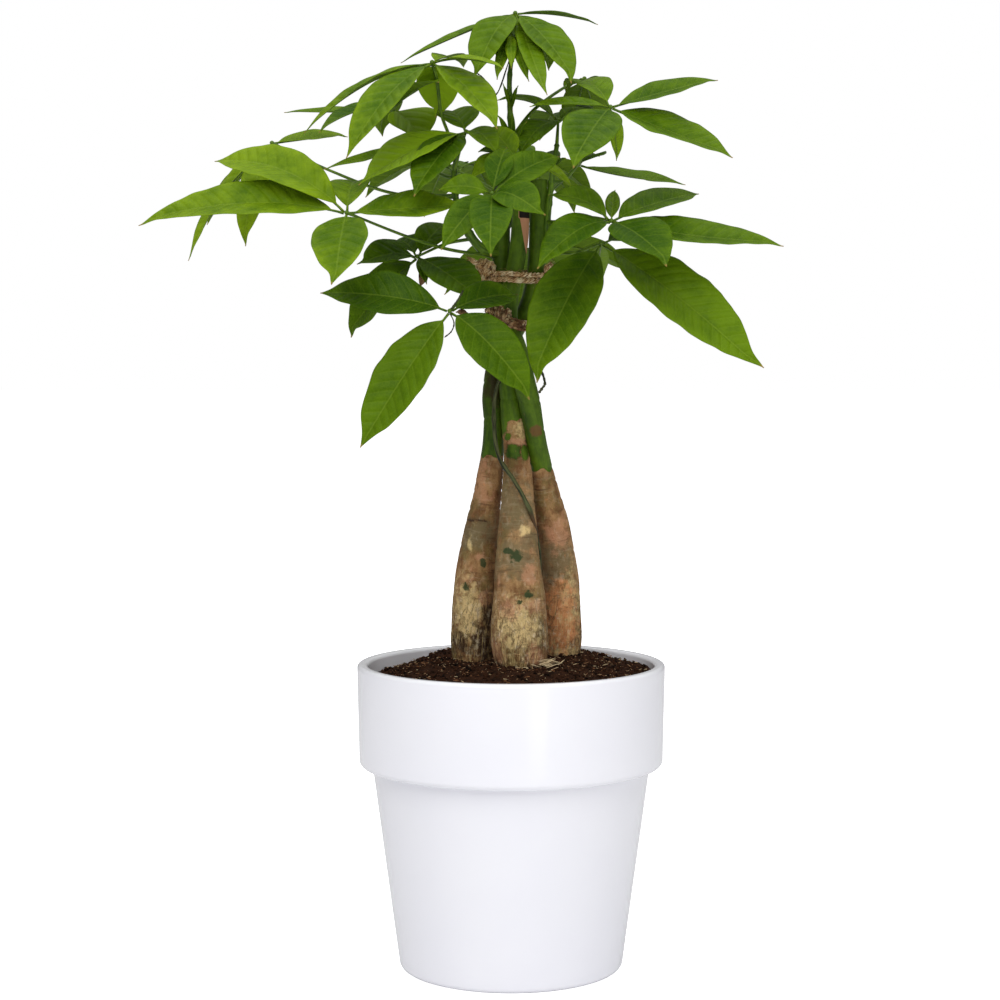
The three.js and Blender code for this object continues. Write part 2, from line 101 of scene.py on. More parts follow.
def bladeLayers(bm):
    return {name: bm.verts.layers.float_vector.new(name) for name in ("grain", "blade", "tone")}


def revolve(bm, outline, steps, near, split=0, cuts=0):
    # The outline of radii and heights, turned round the z axis. Its edge number split gets the cuts.
    corners = [bm.verts.new((radius, 0, height)) for radius, height in outline]
    edges = [bm.edges.new(pair) for pair in zip(corners, corners[1:])]
    if cuts:
        bmesh.ops.subdivide_edges(bm, edges=[edges[split]], cuts=cuts)
    bmesh.ops.spin(bm, geom=bm.verts[:] + bm.edges[:], cent=(0, 0, 0), axis=(0, 0, 1), angle=fullTurn,
                   steps=steps, use_merge=True)
    bmesh.ops.remove_doubles(bm, verts=bm.verts, dist=near)


def joinInto(bm, part):
    mesh = bpy.data.meshes.new("part")
    part.to_mesh(mesh)
    part.free()
    bm.from_mesh(mesh)
    bpy.data.meshes.remove(mesh)


def steadyFrames(points):  # side and up at each point, without twist
    frames = []
    side = Vector((1, 0, 0))
    for i in range(len(points)):
        along = (points[min(i + 1, len(points) - 1)] - points[max(i - 1, 0)]).normalized()
        if i == 0 and abs(along.x) > 0.8:
            side = Vector((0, 1, 0))
        side = (side - along * side.dot(along)).normalized()
        frames.append((side, side.cross(along).normalized()))
    return frames


def bentRod(points, radii, sides, finish=0, relief=None, lid=()):
    # A round rod along the points. relief gives the extra radius from the place on it. lid is the share of
    # the radius and the depth in millimetres of each ring that is sunk in its top.
    rings = len(points) - 1
    rod = bmesh.new()
    layers = bladeLayers(rod)
    top = [(share, rings + 1 + i) for i, (share, _) in enumerate(lid)]
    revolve(rod, [(0, 0), (1, 0), (1, rings), *top, (0, rings + len(lid))], sides, 0.001, 1, rings - 1)
    frames = steadyFrames(points)
    lengths = [0.0]
    for near, far in zip(points, points[1:]):
        lengths.append(lengths[-1] + (far - near).length)
    heading = (points[-1] - points[-2]).normalized()
    for vert in rod.verts:
        x, y, height = vert.co.x, vert.co.y, round(vert.co.z)
        ring = min(height, rings)
        side, up = frames[ring]
        out = side * x + up * y
        grain = Vector((x * radii[ring], y * radii[ring], lengths[ring]))
        vert[layers["grain"]] = grain
        extra = relief(grain, points[ring] + out * radii[ring], out) if relief and height <= rings else 0
        vert.co = points[ring] + out * (radii[ring] + extra)
        if height > rings:
            vert.co -= heading * lid[height - rings - 1][1] * mm
            vert[layers["blade"]] = (0, height - rings, 0)
    for face in rod.faces:
        face.material_index = finish
    bmesh.ops.recalc_face_normals(rod, faces=rod.faces)
    return rod, layers


def addRod(bm, points, radii, sides, finish=0):
    joinInto(bm, bentRod(points, radii, sides, finish)[0])


def knuckles(size, pitch, start, sharpness, roughness, fineness):  # the relief of a jointed stem
    def relief(grain, place, out):
        wave = 0.5 + 0.5 * math.cos(fullTurn * grain.z / (pitch * mm) + start)
        return size * mm * wave ** sharpness + roughness * mm * noise.noise(grain * fineness)
    return relief


def pieceName(node):
    first, *rest = node.split("_")
    return first + "".join(word.capitalize() for word in rest)


def newObject(name, data):
    thing = bpy.data.objects.new(name, data)
    bpy.context.scene.collection.objects.link(thing)
    return thing


def meshObject(name, bm, finishes):
    mesh = bpy.data.meshes.new(name)
    bm.to_mesh(mesh)
    bm.free()
    for finish in finishes:
        mesh.materials.append(finish)
    return newObject(name, mesh)


def finishPiece(name, bm, finishes, slot, *nodes):
    piece = meshObject(name, bm, finishes)
    piece.data.shade_smooth()
    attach(piece, "root")
    if nodes:
        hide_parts(*nodes)
    return piece


# Material making

def srgb(red, green, blue):
    return tuple(((c / 255 + 0.055) / 1.055) ** 2.4 for c in (red, green, blue)) + (1,)


class Wire:  # a node's output, whose sums and products are nodes too
    def __init__(self, socket):
        self.socket = socket

    def __add__(self, other):
        return maths("ADD", self, other)

    def __sub__(self, other):
        return maths("SUBTRACT", self, other)

    def __rsub__(self, other):
        return maths("SUBTRACT", other, self)

    def __mul__(self, other):
        return maths("MULTIPLY", self, other)

    def __truediv__(self, other):
        return maths("DIVIDE", self, other)


def treeOf(*values):
    return next(value.socket.id_data for value in values if isinstance(value, Wire))


def feed(socket, value):
    if isinstance(value, Wire):
        socket.id_data.links.new(value.socket, socket)
    else:
        socket.default_value = value


def addNode(tree, kind, inputs, output=0, **settings):
    node = tree.nodes.new(kind)
    for key, value in settings.items():
        setattr(node, key, value)
    for key, value in inputs.items():
        feed(node.inputs[key], value)
    return Wire(node.outputs[output])


def maths(operation, *values):
    return addNode(treeOf(*values), "ShaderNodeMath", dict(enumerate(values)), operation=operation)


def rise(value, low, high):  # 0 below low, 1 above high
    inputs = {"Value": value, "From Min": low, "From Max": high}
    return addNode(treeOf(value), "ShaderNodeMapRange", inputs, "Result", interpolation_type="SMOOTHSTEP")


def mixColour(share, a, b):
    return addNode(treeOf(share, a, b), "ShaderNodeMix", {0: share, 6: a, 7: b}, 2, data_type="RGBA")


def layered(colour, look, *layers):  # each layer is its share and the name of its tone
    for share, tone in layers:
        colour = mixColour(share, colour, look[tone])
    return colour


def scaled(vector, x, y, z):
    return addNode(treeOf(vector), "ShaderNodeMapping", {"Vector": vector, "Scale": (x, y, z)})


def speckle(vector, scale, detail=3.0, rough=0.5):
    inputs = {"Vector": vector, "Scale": scale, "Detail": detail, "Roughness": rough}
    return addNode(treeOf(vector), "ShaderNodeTexNoise", inputs)


def plateEdges(vector, scale):  # how far the nearest edge between cells is
    inputs = {"Vector": vector, "Scale": scale}
    return addNode(treeOf(vector), "ShaderNodeTexVoronoi", inputs, "Distance", feature="DISTANCE_TO_EDGE")


def attribute(tree, name):
    return addNode(tree, "ShaderNodeAttribute", {}, "Vector", attribute_name=name)


def objectPlace(tree):
    return addNode(tree, "ShaderNodeTexCoord", {}, "Object")


def axes(vector):
    node = addNode(treeOf(vector), "ShaderNodeSeparateXYZ", {0: vector}).socket.node
    return [Wire(socket) for socket in node.outputs]


def newMaterial(name, roughness=0.5, specular=0.5):
    material = bpy.data.materials.new(name)
    material.use_nodes = True
    shader = material.node_tree.nodes["Principled BSDF"].inputs
    shader["Roughness"].default_value = roughness
    shader["Specular IOR Level"].default_value = specular
    return material, material.node_tree, shader


def paint(shader, colour, height, distance, strength, rough=None):
    feed(shader["Base Color"], colour)
    inputs = {"Height": height, "Distance": distance, "Strength": strength}
    feed(shader["Normal"], addNode(treeOf(height), "ShaderNodeBump", inputs))
    if rough:
        feed(shader["Roughness"], rough)


def newGroup(name, inputs, outputs):  # inputs and outputs are names and socket kinds
    tree = bpy.data.node_groups.new(name, "ShaderNodeTree")
    for way, sockets in (("INPUT", inputs), ("OUTPUT", outputs)):
        for label, kind in sockets.items():
            tree.interface.new_socket(name=label, in_out=way, socket_type="NodeSocket" + kind)
    given = {socket.name: Wire(socket) for socket in tree.nodes.new("NodeGroupInput").outputs}
    return tree, given, tree.nodes.new("NodeGroupOutput").inputs


def useGroup(tree, group, inputs):
    node = tree.nodes.new("ShaderNodeGroup")
    node.node_tree = group
    for key, value in inputs.items():
        feed(node.inputs[key], value)
    return {socket.name: Wire(socket) for socket in node.outputs}


# A patch with a ragged edge, from a soft weight and a noise that eats into it
def makePatchGroup():
    tree, given, wanted = newGroup("raggedPatch", {
        "Weight": "Float", "Vector": "Vector", "Scale": "Float", "Ragged": "Float", "Softness": "Float",
    }, {"Mask": "Float"})
    eaten = speckle(given["Vector"], given["Scale"], 5.0, 0.66) - 0.5
    shifted = eaten * given["Ragged"] + given["Weight"]
    feed(wanted["Mask"], rise(shifted, 0.5 - given["Softness"], given["Softness"] + 0.5))
    return tree


raggedPatch = makePatchGroup()


def patch(weight, vector, scale, ragged, softness):
    inputs = {"Weight": weight, "Vector": vector, "Scale": scale, "Ragged": ragged, "Softness": softness}
    return useGroup(treeOf(weight), raggedPatch, inputs)["Mask"]


def streakMaterial(name, look, source="grain"):
    # Streaks along the grain from one tone to another. Spots, if any, are patches of a third tone.
    material, tree, shader = newMaterial(name, *look["gloss"])
    grain = attribute(tree, source) if source == "grain" else objectPlace(tree)
    stretch, scale, detail, rough, low, high = look["streaks"]
    streak = speckle(scaled(grain, 1, 1, stretch), scale, detail, rough)
    colour = mixColour(rise(streak, low, high), look["dark"], look["light"])
    if "spots" in look:
        stretch, scale, detail, low, high, strength = look["spots"]
        spot = rise(speckle(scaled(grain, 1, 1, stretch), scale, detail), low, high)
        colour = mixColour(spot * strength, colour, look["spot"])
    paint(shader, colour, streak, *look["relief"])
    return material


# Camera

view = {"lens": 82.44, "sensor": 36, "place": (0, -1406.6, 382.4), "down": 3.76, "shift": -0.0111}


def makeCamera():
    camera = bpy.data.cameras.new("camera")
    camera.lens = view["lens"]
    camera.sensor_width = view["sensor"]
    camera.shift_x = view["shift"]
    stand = newObject("camera", camera)
    stand.location = Vector(view["place"]) * mm
    stand.rotation_euler = (math.radians(90 - view["down"]), 0, 0)
    bpy.context.scene.camera = stand


makeCamera()
print("camera placed")


# Pot

potLook = {
    "height": 189.3, "baseRadius": 68.9, "bodyTopRadius": 85.8, "collarFoot": 126.4,
    "collarFootRadius": 93.8, "rimRadius": 95, "wall": 6.6, "floor": 6, "edgeRound": 3.5, "lipRound": 2.4,
    "creaseRound": 1.2, "innerRound": 7, "turns": 144, "cuts": 24, "unevenness": 0.12, "unevenPitch": 70,
    "glaze": srgb(248, 248, 252), "glazeShade": srgb(240, 240, 247), "roughness": 0.13, "coat": (0.4, 0.05),
}


def glazeMaterial():
    look = potLook
    material, tree, shader = newMaterial("whiteGlaze", look["roughness"])
    place = objectPlace(tree)
    colour = mixColour(speckle(place, 14.0, 2.0), look["glaze"], look["glazeShade"])
    fine = speckle(place, 160.0, 2.0)
    waves = speckle(place, 30.0, 1.0) + fine * 0.08
    paint(shader, colour, waves, 0.0006, 0.5, fine * 0.05 + (look["roughness"] - 0.02))
    shader["Coat Weight"].default_value, shader["Coat Roughness"].default_value = look["coat"]
    return material


def onRing(vert, radius, height):
    near = 0.05 * mm
    return abs(math.hypot(vert.co.x, vert.co.y) - radius) < near and abs(vert.co.z - height) < near


def makePot():
    look = potLook
    base, bodyTop, foot = look["baseRadius"], look["bodyTopRadius"], look["collarFoot"]
    collar, rim, wall, edge = look["collarFootRadius"], look["rimRadius"], look["wall"], look["edgeRound"]
    outline = [  # radius, height, rounding
        (0, 0, 0), (base, 0, edge), (bodyTop, foot, look["creaseRound"]), (collar, foot, edge),
        (rim, look["height"], look["lipRound"]), (rim - wall, look["height"], look["lipRound"]),
        (collar - wall, foot + edge, look["innerRound"] / 2),
        (bodyTop - wall, foot - edge, look["innerRound"] / 2),
        (base - wall, look["floor"], look["innerRound"]), (0, look["floor"], 0),
    ]
    bm = bmesh.new()
    revolve(bm, [(radius * mm, height * mm) for radius, height, _ in outline], look["turns"], 0.01 * mm)
    bmesh.ops.recalc_face_normals(bm, faces=bm.faces)
    for radius, height, rounding in outline:
        if rounding:
            ring = [edge for edge in bm.edges
                    if all(onRing(vert, radius * mm, height * mm) for vert in edge.verts)]
            bmesh.ops.bevel(bm, geom=ring, offset=rounding * mm, offset_type="OFFSET", segments=6,
                            profile=0.5, affect="EDGES", material=-1)
    for i in range(1, look["cuts"]):
        level = (0, 0, look["height"] * i / look["cuts"] * mm)
        bmesh.ops.bisect_plane(bm, geom=bm.verts[:] + bm.edges[:] + bm.faces[:], plane_co=level,
                               plane_no=(0, 0, 1))
    for vert in bm.verts:
        out = Vector((vert.co.x, vert.co.y, 0))
        if out.length > 1e-6 and vert.co.z > edge * mm:
            swell = noise.noise(vert.co / (look["unevenPitch"] * mm)) * look["unevenness"] * mm
            vert.co += out.normalized() * swell
    pot = finishPiece("pottedGlazedPot", bm, [glazeMaterial()], "white_glaze", "pot")
    pot.modifiers.new("evenNormals", "WEIGHTED_NORMAL")


makePot()
print("pot made")


# Soil

soilLook = {
    "wallHeight": 181, "crownHeight": 189.6, "crownRadius": 36, "backRise": 6.5, "lean": 2.2, "lump": 0.7,
    "lumpPitch": 52, "turns": 260, "rings": 84,
    "clods": [(0.9, 11), (0.8, 4.5), (0.5, 2.1)],  # height and size of the crumble
    "crumbs": 100, "crumbBatches": 28, "crumbSizes": (0.6, 2.2), "flecks": 950,
    "fleckSizes": (0.2, 0.6, 0.7, 5.6), "darkMost": 2.6, "straws": 26, "strawPlace": (21, -27),
    "strawSpread": 9, "strawTurn": 0.5, "seed": 5, "dark": srgb(10, 6, 4), "brown": srgb(56, 33, 20),
    "warm": srgb(124, 78, 48), "fleck": srgb(168, 124, 82), "pale": srgb(240, 224, 180),
}


def soilTop(x, y):  # height of the heaped soil, all in millimetres
    look = soilLook
    wallRadius = potLook["rimRadius"] - potLook["wall"]
    out = smoothStep(look["crownRadius"], wallRadius, math.hypot(x, y))
    heap = between(look["crownHeight"], look["wallHeight"], out) + look["lean"] * out * (x + y) / wallRadius
    heap += look["backRise"] * smoothStep(5, 48, y) * smoothStep(88, 50, math.hypot(x, y))
    turn = fullTurn / look["lumpPitch"]
    return heap + look["lump"] * math.sin(x * turn + 1) * math.cos(y * turn)


def crumbledTop(x, y):
    rough = sum(height * noise.noise(Vector((x, y, 3.7 * i)) / size) for i, (height, size) in
                enumerate(soilLook["clods"]))
    return soilTop(x, y) + rough


def soilMaterial():
    look = soilLook
    material, tree, shader = newMaterial("pottingSoil", 0.95, 0.08)
    place = objectPlace(tree)
    grains = speckle(place, 700.0, 5.0, 0.7)
    damp = rise(axes(attribute(tree, "tone"))[0] * 0.5 + grains * 0.7, 0.3, 0.75)
    fibres = rise(speckle(scaled(place, 1, 2.6, 1), 900.0, 2.0), 0.64, 0.74)
    bits = rise(speckle(place, 1300.0, 1.0), 0.72, 0.78)
    colour = layered(mixColour(damp, look["dark"], look["brown"]), look, (fibres * 0.6, "warm"),
                     (bits * 0.7, "fleck"))
    paint(shader, colour, grains, 0.0012, 0.9)
    return material


def fleckMaterial():
    look = soilLook
    material, tree, shader = newMaterial("soilFlecks", 0.85, 0.3)
    streak = speckle(scaled(objectPlace(tree), 1, 1, 3), 600.0, 2.0)
    colour = mixColour(axes(attribute(tree, "tone"))[0], look["warm"], look["pale"])
    paint(shader, mixColour(streak * 0.5, colour, look["fleck"]), streak, 0.0003, 0.6)
    return material


def makeSoil():
    look = soilLook
    wall, foot, edge = potLook["wall"], potLook["collarFoot"], potLook["edgeRound"]
    share = (look["wallHeight"] - foot - edge) / (potLook["height"] - potLook["lipRound"] - foot - edge)
    topRadius = between(potLook["collarFootRadius"], potLook["rimRadius"], share) - wall - gap
    outline = [
        (0, potLook["floor"] + gap), (potLook["baseRadius"] - wall - gap, potLook["floor"] + gap),
        (potLook["bodyTopRadius"] - wall - gap - 0.1, foot - edge + gap),
        (potLook["collarFootRadius"] - wall - gap - 0.1, foot + edge + gap),
        (topRadius, look["wallHeight"] - 3), (topRadius, look["wallHeight"]), (0, look["wallHeight"]),
    ]
    bm = bmesh.new()
    layers = bladeLayers(bm)
    outline = [(radius * mm, height * mm) for radius, height in outline]
    revolve(bm, outline, look["turns"], 0.005 * mm, -1, look["rings"])
    bmesh.ops.recalc_face_normals(bm, faces=bm.faces)
    for vert in bm.verts:
        if vert.co.z > (look["wallHeight"] - 0.5) * mm:
            vert.co.z = crumbledTop(vert.co.x / mm, vert.co.y / mm) * mm
            vert[layers["tone"]] = (0.5 + 0.5 * noise.noise(vert.co / (5 * mm)), 0, 0)
    chance = random.Random(look["seed"])
    for batch in range(look["crumbBatches"]):
        joinInto(bm, crumbBatch(chance, topRadius))
    finishPiece("heapedSoil", bm, [soilMaterial()], "potting_soil", "soil")
    makeFlecks(chance, topRadius)


def scatterPlace(chance, radius):
    reach = radius * math.sqrt(chance.random())
    angle = chance.uniform(0, fullTurn)
    return reach * math.cos(angle), reach * math.sin(angle)


def onSoil(x, y, lift):
    return Matrix.Translation(Vector((x, y, crumbledTop(x, y) + lift)) * mm)


def addBit(bm, layers, place, chance, shade, dent):
    for vert in bmesh.ops.create_icosphere(bm, subdivisions=1, radius=1, matrix=place)["verts"]:
        vert.co += Vector([chance.uniform(*dent[0]) * dent[1] * mm for _ in range(3)])
        vert[layers["tone"]] = (shade, 0, 0)


def crumbBatch(chance, topRadius):
    look = soilLook
    batch = bmesh.new()
    layers = bladeLayers(batch)
    for _ in range(look["crumbs"]):
        size = chance.uniform(*look["crumbSizes"]) * chance.uniform(0.6, 1)
        x, y = scatterPlace(chance, topRadius - size - 0.5)
        place = onSoil(x, y, size * chance.uniform(-0.2, 0.45))
        spin = Matrix.Rotation(chance.uniform(0, fullTurn), 4,
                               Vector((chance.random(), chance.random(), 0.3)))
        shape = Matrix.Diagonal((size * mm, size * mm * chance.uniform(0.5, 0.9), size * mm * 0.6, 1))
        addBit(batch, layers, place @ spin @ shape, chance, chance.random(), ((-0.16, 0.16), size))
    return batch


def makeFlecks(chance, topRadius):
    look = soilLook
    bm = bmesh.new()
    layers = bladeLayers(bm)
    thin, thick, short, long = look["fleckSizes"]
    for i in range(look["flecks"] + look["straws"]):
        straw = i >= look["flecks"]
        length = chance.uniform(6, 13) if straw else chance.uniform(short, long) * chance.random() + thin
        width = chance.uniform(0.4, 0.8) if straw else chance.uniform(thin, thick)
        x, y = scatterPlace(chance, topRadius - 3)
        if straw:
            x, y = (middle + chance.gauss(0, look["strawSpread"] / 2) for middle in look["strawPlace"])
        place = onSoil(x, y, width + chance.uniform(0.2, 1.3) + (chance.uniform(0, 2) if straw else 0))
        tilt = Matrix.Rotation(chance.uniform(-0.35, 0.35), 4, "Y")
        turn = look["strawTurn"] + chance.uniform(-0.7, 0.5) if straw else chance.uniform(0, fullTurn)
        shape = Matrix.Diagonal((length / 2 * mm, width / 2 * mm, width / 2.6 * mm, 1))
        shade = chance.uniform(0.55, 1) if straw else chance.random() ** look["darkMost"]
        addBit(bm, layers, place @ Matrix.Rotation(turn, 4, "Z") @ tilt @ shape, chance, shade,
               ((-0.12, 0.12), 1))
    finishPiece("soilFlecks", bm, [fleckMaterial()], "potting_soil")


makeSoil()
print("soil heaped")


# Trunks

trunks = {
    "trunk_left": [
        [-24, 16, 164, 11.5], [-24, 16, 190, 14.3], [-24, 15, 204, 14.6], [-23, 15, 235, 13.6],
        [-20, 14, 262, 11.8], [-16, 12, 290, 8.6], [-13, 10, 314, 6.9], [-11, 9, 335, 6.1],
        [-10, 11, 354, 5.6], [-7, 15, 374, 5.5], [1, 15, 391, 5.5], [9, 12, 406, 5.5],
        [14, 7, 421, 5.5], [16, 5, 440, 5.5], [17, 5, 466, 5.4], [17, 5, 486, 5.2],
    ],
    "trunk_front": [
        [6, -12, 162, 13], [6, -13, 188, 17.4], [5, -13, 203, 18.2], [5, -11, 228, 16],
        [4, -8, 254, 13.2], [4, -5, 282, 10.3], [4, -2, 306, 8.4], [3, 0, 322, 7.1],
        [1, 1, 341, 7.4], [-1, 2, 356, 5.9], [-3.5, 3.5, 381, 5.5], [-7, 4, 400, 5.5],
        [-7, 6, 418, 5.5], [-6, 7, 440, 5.4], [-6, 8, 460, 5.3],
    ],
    "trunk_right": [
        [31, 30, 164, 12], [31, 30, 192, 14.4], [31, 29, 214, 14.3], [30, 25, 241, 13],
        [27, 19, 268, 11], [22.5, 13, 292, 8.8], [20, 8, 308, 6.6], [14.5, -3, 335, 5.8],
        [9, -7, 355, 5.6], [4, -9, 376, 5.5], [-1, -8.5, 394, 5.5], [-1, -6, 412, 5.5],
        [2, -4, 430, 5.5], [5, -4, 448, 5.4], [6, -4, 468, 5.2],
    ],
}
slenderStem = [
    [20, 6, 166, 1.5], [20.5, 6, 190, 1.5], [18.5, 4.5, 228, 1.5], [17, -1.5, 258, 1.5],
    [13, -13.5, 280, 1.5], [8, -17, 292, 1.5], [1, -14.5, 304, 1.5], [-6, -11.5, 314, 1.5],
    [-9.5, -7.5, 326, 1.5], [-10.5, -5.5, 344, 1.4], [-9, -5.5, 358, 1.3], [-5, -1, 368, 1.2],
]
trunkLook = {
    "sides": 80, "ringStep": 1.15, "lump": 0.7, "lumpPitch": 24, "crease": 0.16, "fissure": 0.75,
    "woody": (250, 205),  # the heights between which the skin turns into cracked bark
    "scarDepth": 0.4, "scarWidth": 0.8,
    # share of the radius and depth of each ring of the cut top
    "cutTop": [(0.8, 0.0), (0.66, 3.0), (0.3, 3.4)],
    "skinRagged": 7,  # how far the bark reaches up into the green skin
    # extra radius: how much, which side, and the heights where it starts, is full, starts to end and ends
    "swells": [
        (-1.7, "round", 0, 1, 188, 212), (0.5, "round", 225, 250, 315, 335),
        (2.2, "outer", 335, 355, 385, 405), (-1.2, "outer", 196, 215, 320, 340),
        (0.95, "inner", 275, 298, 335, 352),
    ],
    "noises": {  # stretch, scale, detail and roughness
        "rings": ((0.3, 0.3, 2.6), 170.0, 5.0, 0.65), "fibres": ((1, 1, 0.13), 800.0, 5.0, 0.7),
        "blotch": ((1, 1, 0.7), 52.0, 6.0, 0.7), "cast": ((0.8, 0.8, 0.45), 100.0, 5.0, 0.7),
        "flakes": ((1, 1, 0.55), 290.0, 4.0, 0.68), "fine": ((1, 1, 1), 950.0, 4.0, 0.7),
        "streaks": ((1, 1, 0.1), 260.0, 4.0, 0.6), "pores": ((1, 1, 0.5), 700.0, 2.0, 0.5),
    },
    "patches": {"grey": (0.8, 120.0), "pale": (0.8, 190.0), "pink": (0.6, 160.0), "rust": (0.84, 150.0),
                "dark": (0.85, 180.0)},  # strength, and scale of the ragged edge
    "tan": srgb(180, 140, 94), "brown": srgb(112, 76, 44), "olive": srgb(118, 106, 60),
    # papery is pale papery bark and also painted highlight, the white sheen on the trunks
    "grey": srgb(116, 102, 72), "pale": srgb(230, 202, 142), "paperyAndSheen": srgb(246, 228, 192),
    "rust": srgb(222, 150, 98), "pink": srgb(198, 144, 108), "dark": srgb(54, 34, 22),
    "moss": srgb(40, 62, 32), "skinLight": srgb(94, 124, 24), "skinDark": srgb(42, 66, 10),
    # hollow is painted shade: the near-black inside a hollow, on the sunk cut top and over the slanting cut
    "cutWood": srgb(182, 132, 98), "hollow": srgb(26, 18, 12),
}
# On each trunk: the side that faces out, where the green skin starts, the heights of the rings of scars,
# and the marks on its front, which are x, height, half width and half height
barks = {
    "trunk_left": {
        "outer": -1, "skinFrom": 317,
        "scars": [232, 261, 277, 284, 295, 301, 340, 362],
        "marks": {
            "dark": [
                (-22, 277, 9, 0.8), (-33, 201, 6, 5), (-17, 202, 7, 11), (-13.5, 216, 4, 11),
                (-9, 362, 9, 14),
            ],
            "grey": [(-21, 269, 16, 8)],
            "pale": [(-25.6, 262, 1.4, 4.5), (-27, 220, 8, 16)],
            "pink": [(-19.8, 255, 3, 2), (-16, 228, 3, 6), (-19, 300, 5, 12)],
            "moss": [(-17.4, 251, 2.1, 2.6), (-28, 236, 2.2, 2.6)],
        },
    },
    "trunk_front": {
        "outer": 0, "skinFrom": 339,
        "scars": [236, 262, 289, 300, 312, 326, 352, 376],
        "marks": {
            "pale": [(6, 335, 3.4, 6), (8, 273, 3, 3), (4, 213, 11, 14)],
            "skin": [(-5, 336, 2.6, 6), (-2, 329, 2, 2), (1.5, 320, 5, 4.6), (8.4, 319, 2.6, 4.5)],
            "pink": [
                (3, 326, 7, 2), (10.9, 245, 4, 6), (-0.7, 225, 5, 5), (14.5, 227, 4.5, 3.5),
                (15, 197, 5, 6), (-10, 199, 3, 8),
            ],
            "moss": [(-2, 260, 3.2, 2), (3, 257, 3.4, 3.2), (10.3, 234, 2.6, 2.5), (5, 230, 1.6, 1.4)],
            "grey": [(17, 210, 2.6, 10), (3, 257, 14, 13), (0, 287, 12, 15)],
            "dark": [(14, 189, 6, 3), (-9, 189, 6, 4)],
        },
    },
    "trunk_right": {
        "outer": 1, "skinFrom": 308,
        "scars": [229, 257, 283, 290, 301, 309, 333, 350, 372],
        "marks": {
            "rust": [(16.6, 332.7, 5, 3.2), (29, 214, 12, 21)],
            "grey": [(27, 251, 13, 14)],
            "pale": [(37, 222, 5, 16), (32, 192, 7, 4)],
            "pink": [(29, 268, 7, 9)],
        },
        # the slanting cut, and how far the painted shade of the hollow reaches over it
        "slash": {"foot": (9.7, 439), "head": (8.2, 462), "half": 2.4, "hollow": 7},
    },
}


def barkMaterial():
    look = trunkLook
    material, tree, shader = newMaterial("bark", 0.75, 0.16)
    grain = attribute(tree, "grain")
    moss, rust, dark = axes(attribute(tree, "stain"))
    pale, pink, skin = axes(attribute(tree, "flush"))
    grey, cut, low = axes(attribute(tree, "blade"))
    rings, fibres, blotch, cast, flakes, fine, streaks, pores = (
        speckle(scaled(grain, *stretch), *rest) for stretch, *rest in look["noises"].values())
    colour = mixColour(rise(blotch, 0.36, 0.62), look["brown"], look["tan"])
    colour = layered(colour, look, (rise(cast, 0.47, 0.62) * 0.6, "olive"),
                     (rise(cast, 0.43, 0.33) * 0.5, "pink"))
    for weight, (tone, (strength, scale)) in zip((grey, pale, pink, rust, dark), look["patches"].items()):
        colour = mixColour(patch(weight, grain, scale, 2.0, 0.26) * strength, colour, look[tone])
    warped = addNode(tree, "ShaderNodeVectorMath", {0: scaled(grain, 1, 1, 0.42), 1: flakes * 0.012},
                     operation="ADD")
    splits = rise(plateEdges(warped, 270.0), 0.09, 0.0) * low * rise(blotch, 0.34, 0.56)
    # The papery tone is partly real papery flakes and partly painted highlight: pale specks and streaks for
    # sheen.
    colour = layered(
        colour, look, (rise(flakes, 0.52, 0.68) * (low * 0.43 + 0.11), "paperyAndSheen"),
        (rise(flakes, 0.44, 0.3) * 0.6, "brown"), (rise(fine, 0.4, 0.26) * 0.55, "dark"),
        (rise(rings, 0.43, 0.3) * 0.5, "dark"), (rise(rings, 0.56, 0.68) * 0.08, "paperyAndSheen"),
        (rise(fibres, 0.51, 0.64) * low * 0.55, "pale"), (splits * 0.7, "dark"),
        (rise(fibres, 0.42, 0.3) * low * 0.55, "brown"),
        (patch(moss, grain, 330.0, 1.5, 0.14) * 0.88, "moss"))
    green = mixColour(rise(blotch * 0.8 + streaks * 0.4, 0.38, 0.82), look["skinDark"], look["skinLight"])
    green = layered(
        green, look, (rise(pores, 0.66, 0.74) * 0.4, "olive"),
        (patch(rust, grain, 220.0, 1.0, 0.12) * 0.85, "brown"),
        (patch(dark, grain, 200.0, 1.6, 0.3) * 0.75, "dark"))
    skinMask = patch(skin, grain, 210.0, 0.9, 0.08)
    colour = mixColour(skinMask, colour, green)
    # Cut wood, then the hollow tone, which is painted shade of the hollow in the cut top and over the
    # slanting cut.
    colour = layered(colour, look, (rise(cut, 0.4, 0.6), "cutWood"), (rise(cut, 1.4, 1.6), "hollow"))
    relief = fibres * low + rings * 0.8 + fine * 0.35 + flakes * 0.6 + splits * -0.5
    relief *= skinMask * -0.75 + 1.0
    paint(shader, colour, relief, 0.0012, 0.9, fine * 0.25 + 0.58 + skinMask * -0.24)
    return material


def markWeight(place, marks):  # 1 at the middle of a mark, 0.5 on its outline
    offs = (math.hypot((place.x / mm - x) / wide, (place.z / mm - height) / high)
            for x, height, wide, high in marks)
    return max([0.0] + [1 - 0.5 * off for off in offs])


# Over the slanting cut the hollow is painted shade, drawn near-black on the round side of the trunk.
def slashWeight(place, slash):  # 1 on the pale slanting cut, 2 in the hollow over it
    (footX, foot), (headX, head) = slash["foot"], slash["head"]
    share = (place.z / mm - foot) / (head - foot)
    if share < 0 or place.z / mm > head + slash["hollow"]:
        return 0.0
    off = abs(place.x / mm - between(footX, headX, min(share, 1))) / (slash["half"] * min(share, 1) + 0.3)
    return 2 * smoothStep(1.5, 1.1, off) if share > 1 else smoothStep(1.25, 0.9, off)


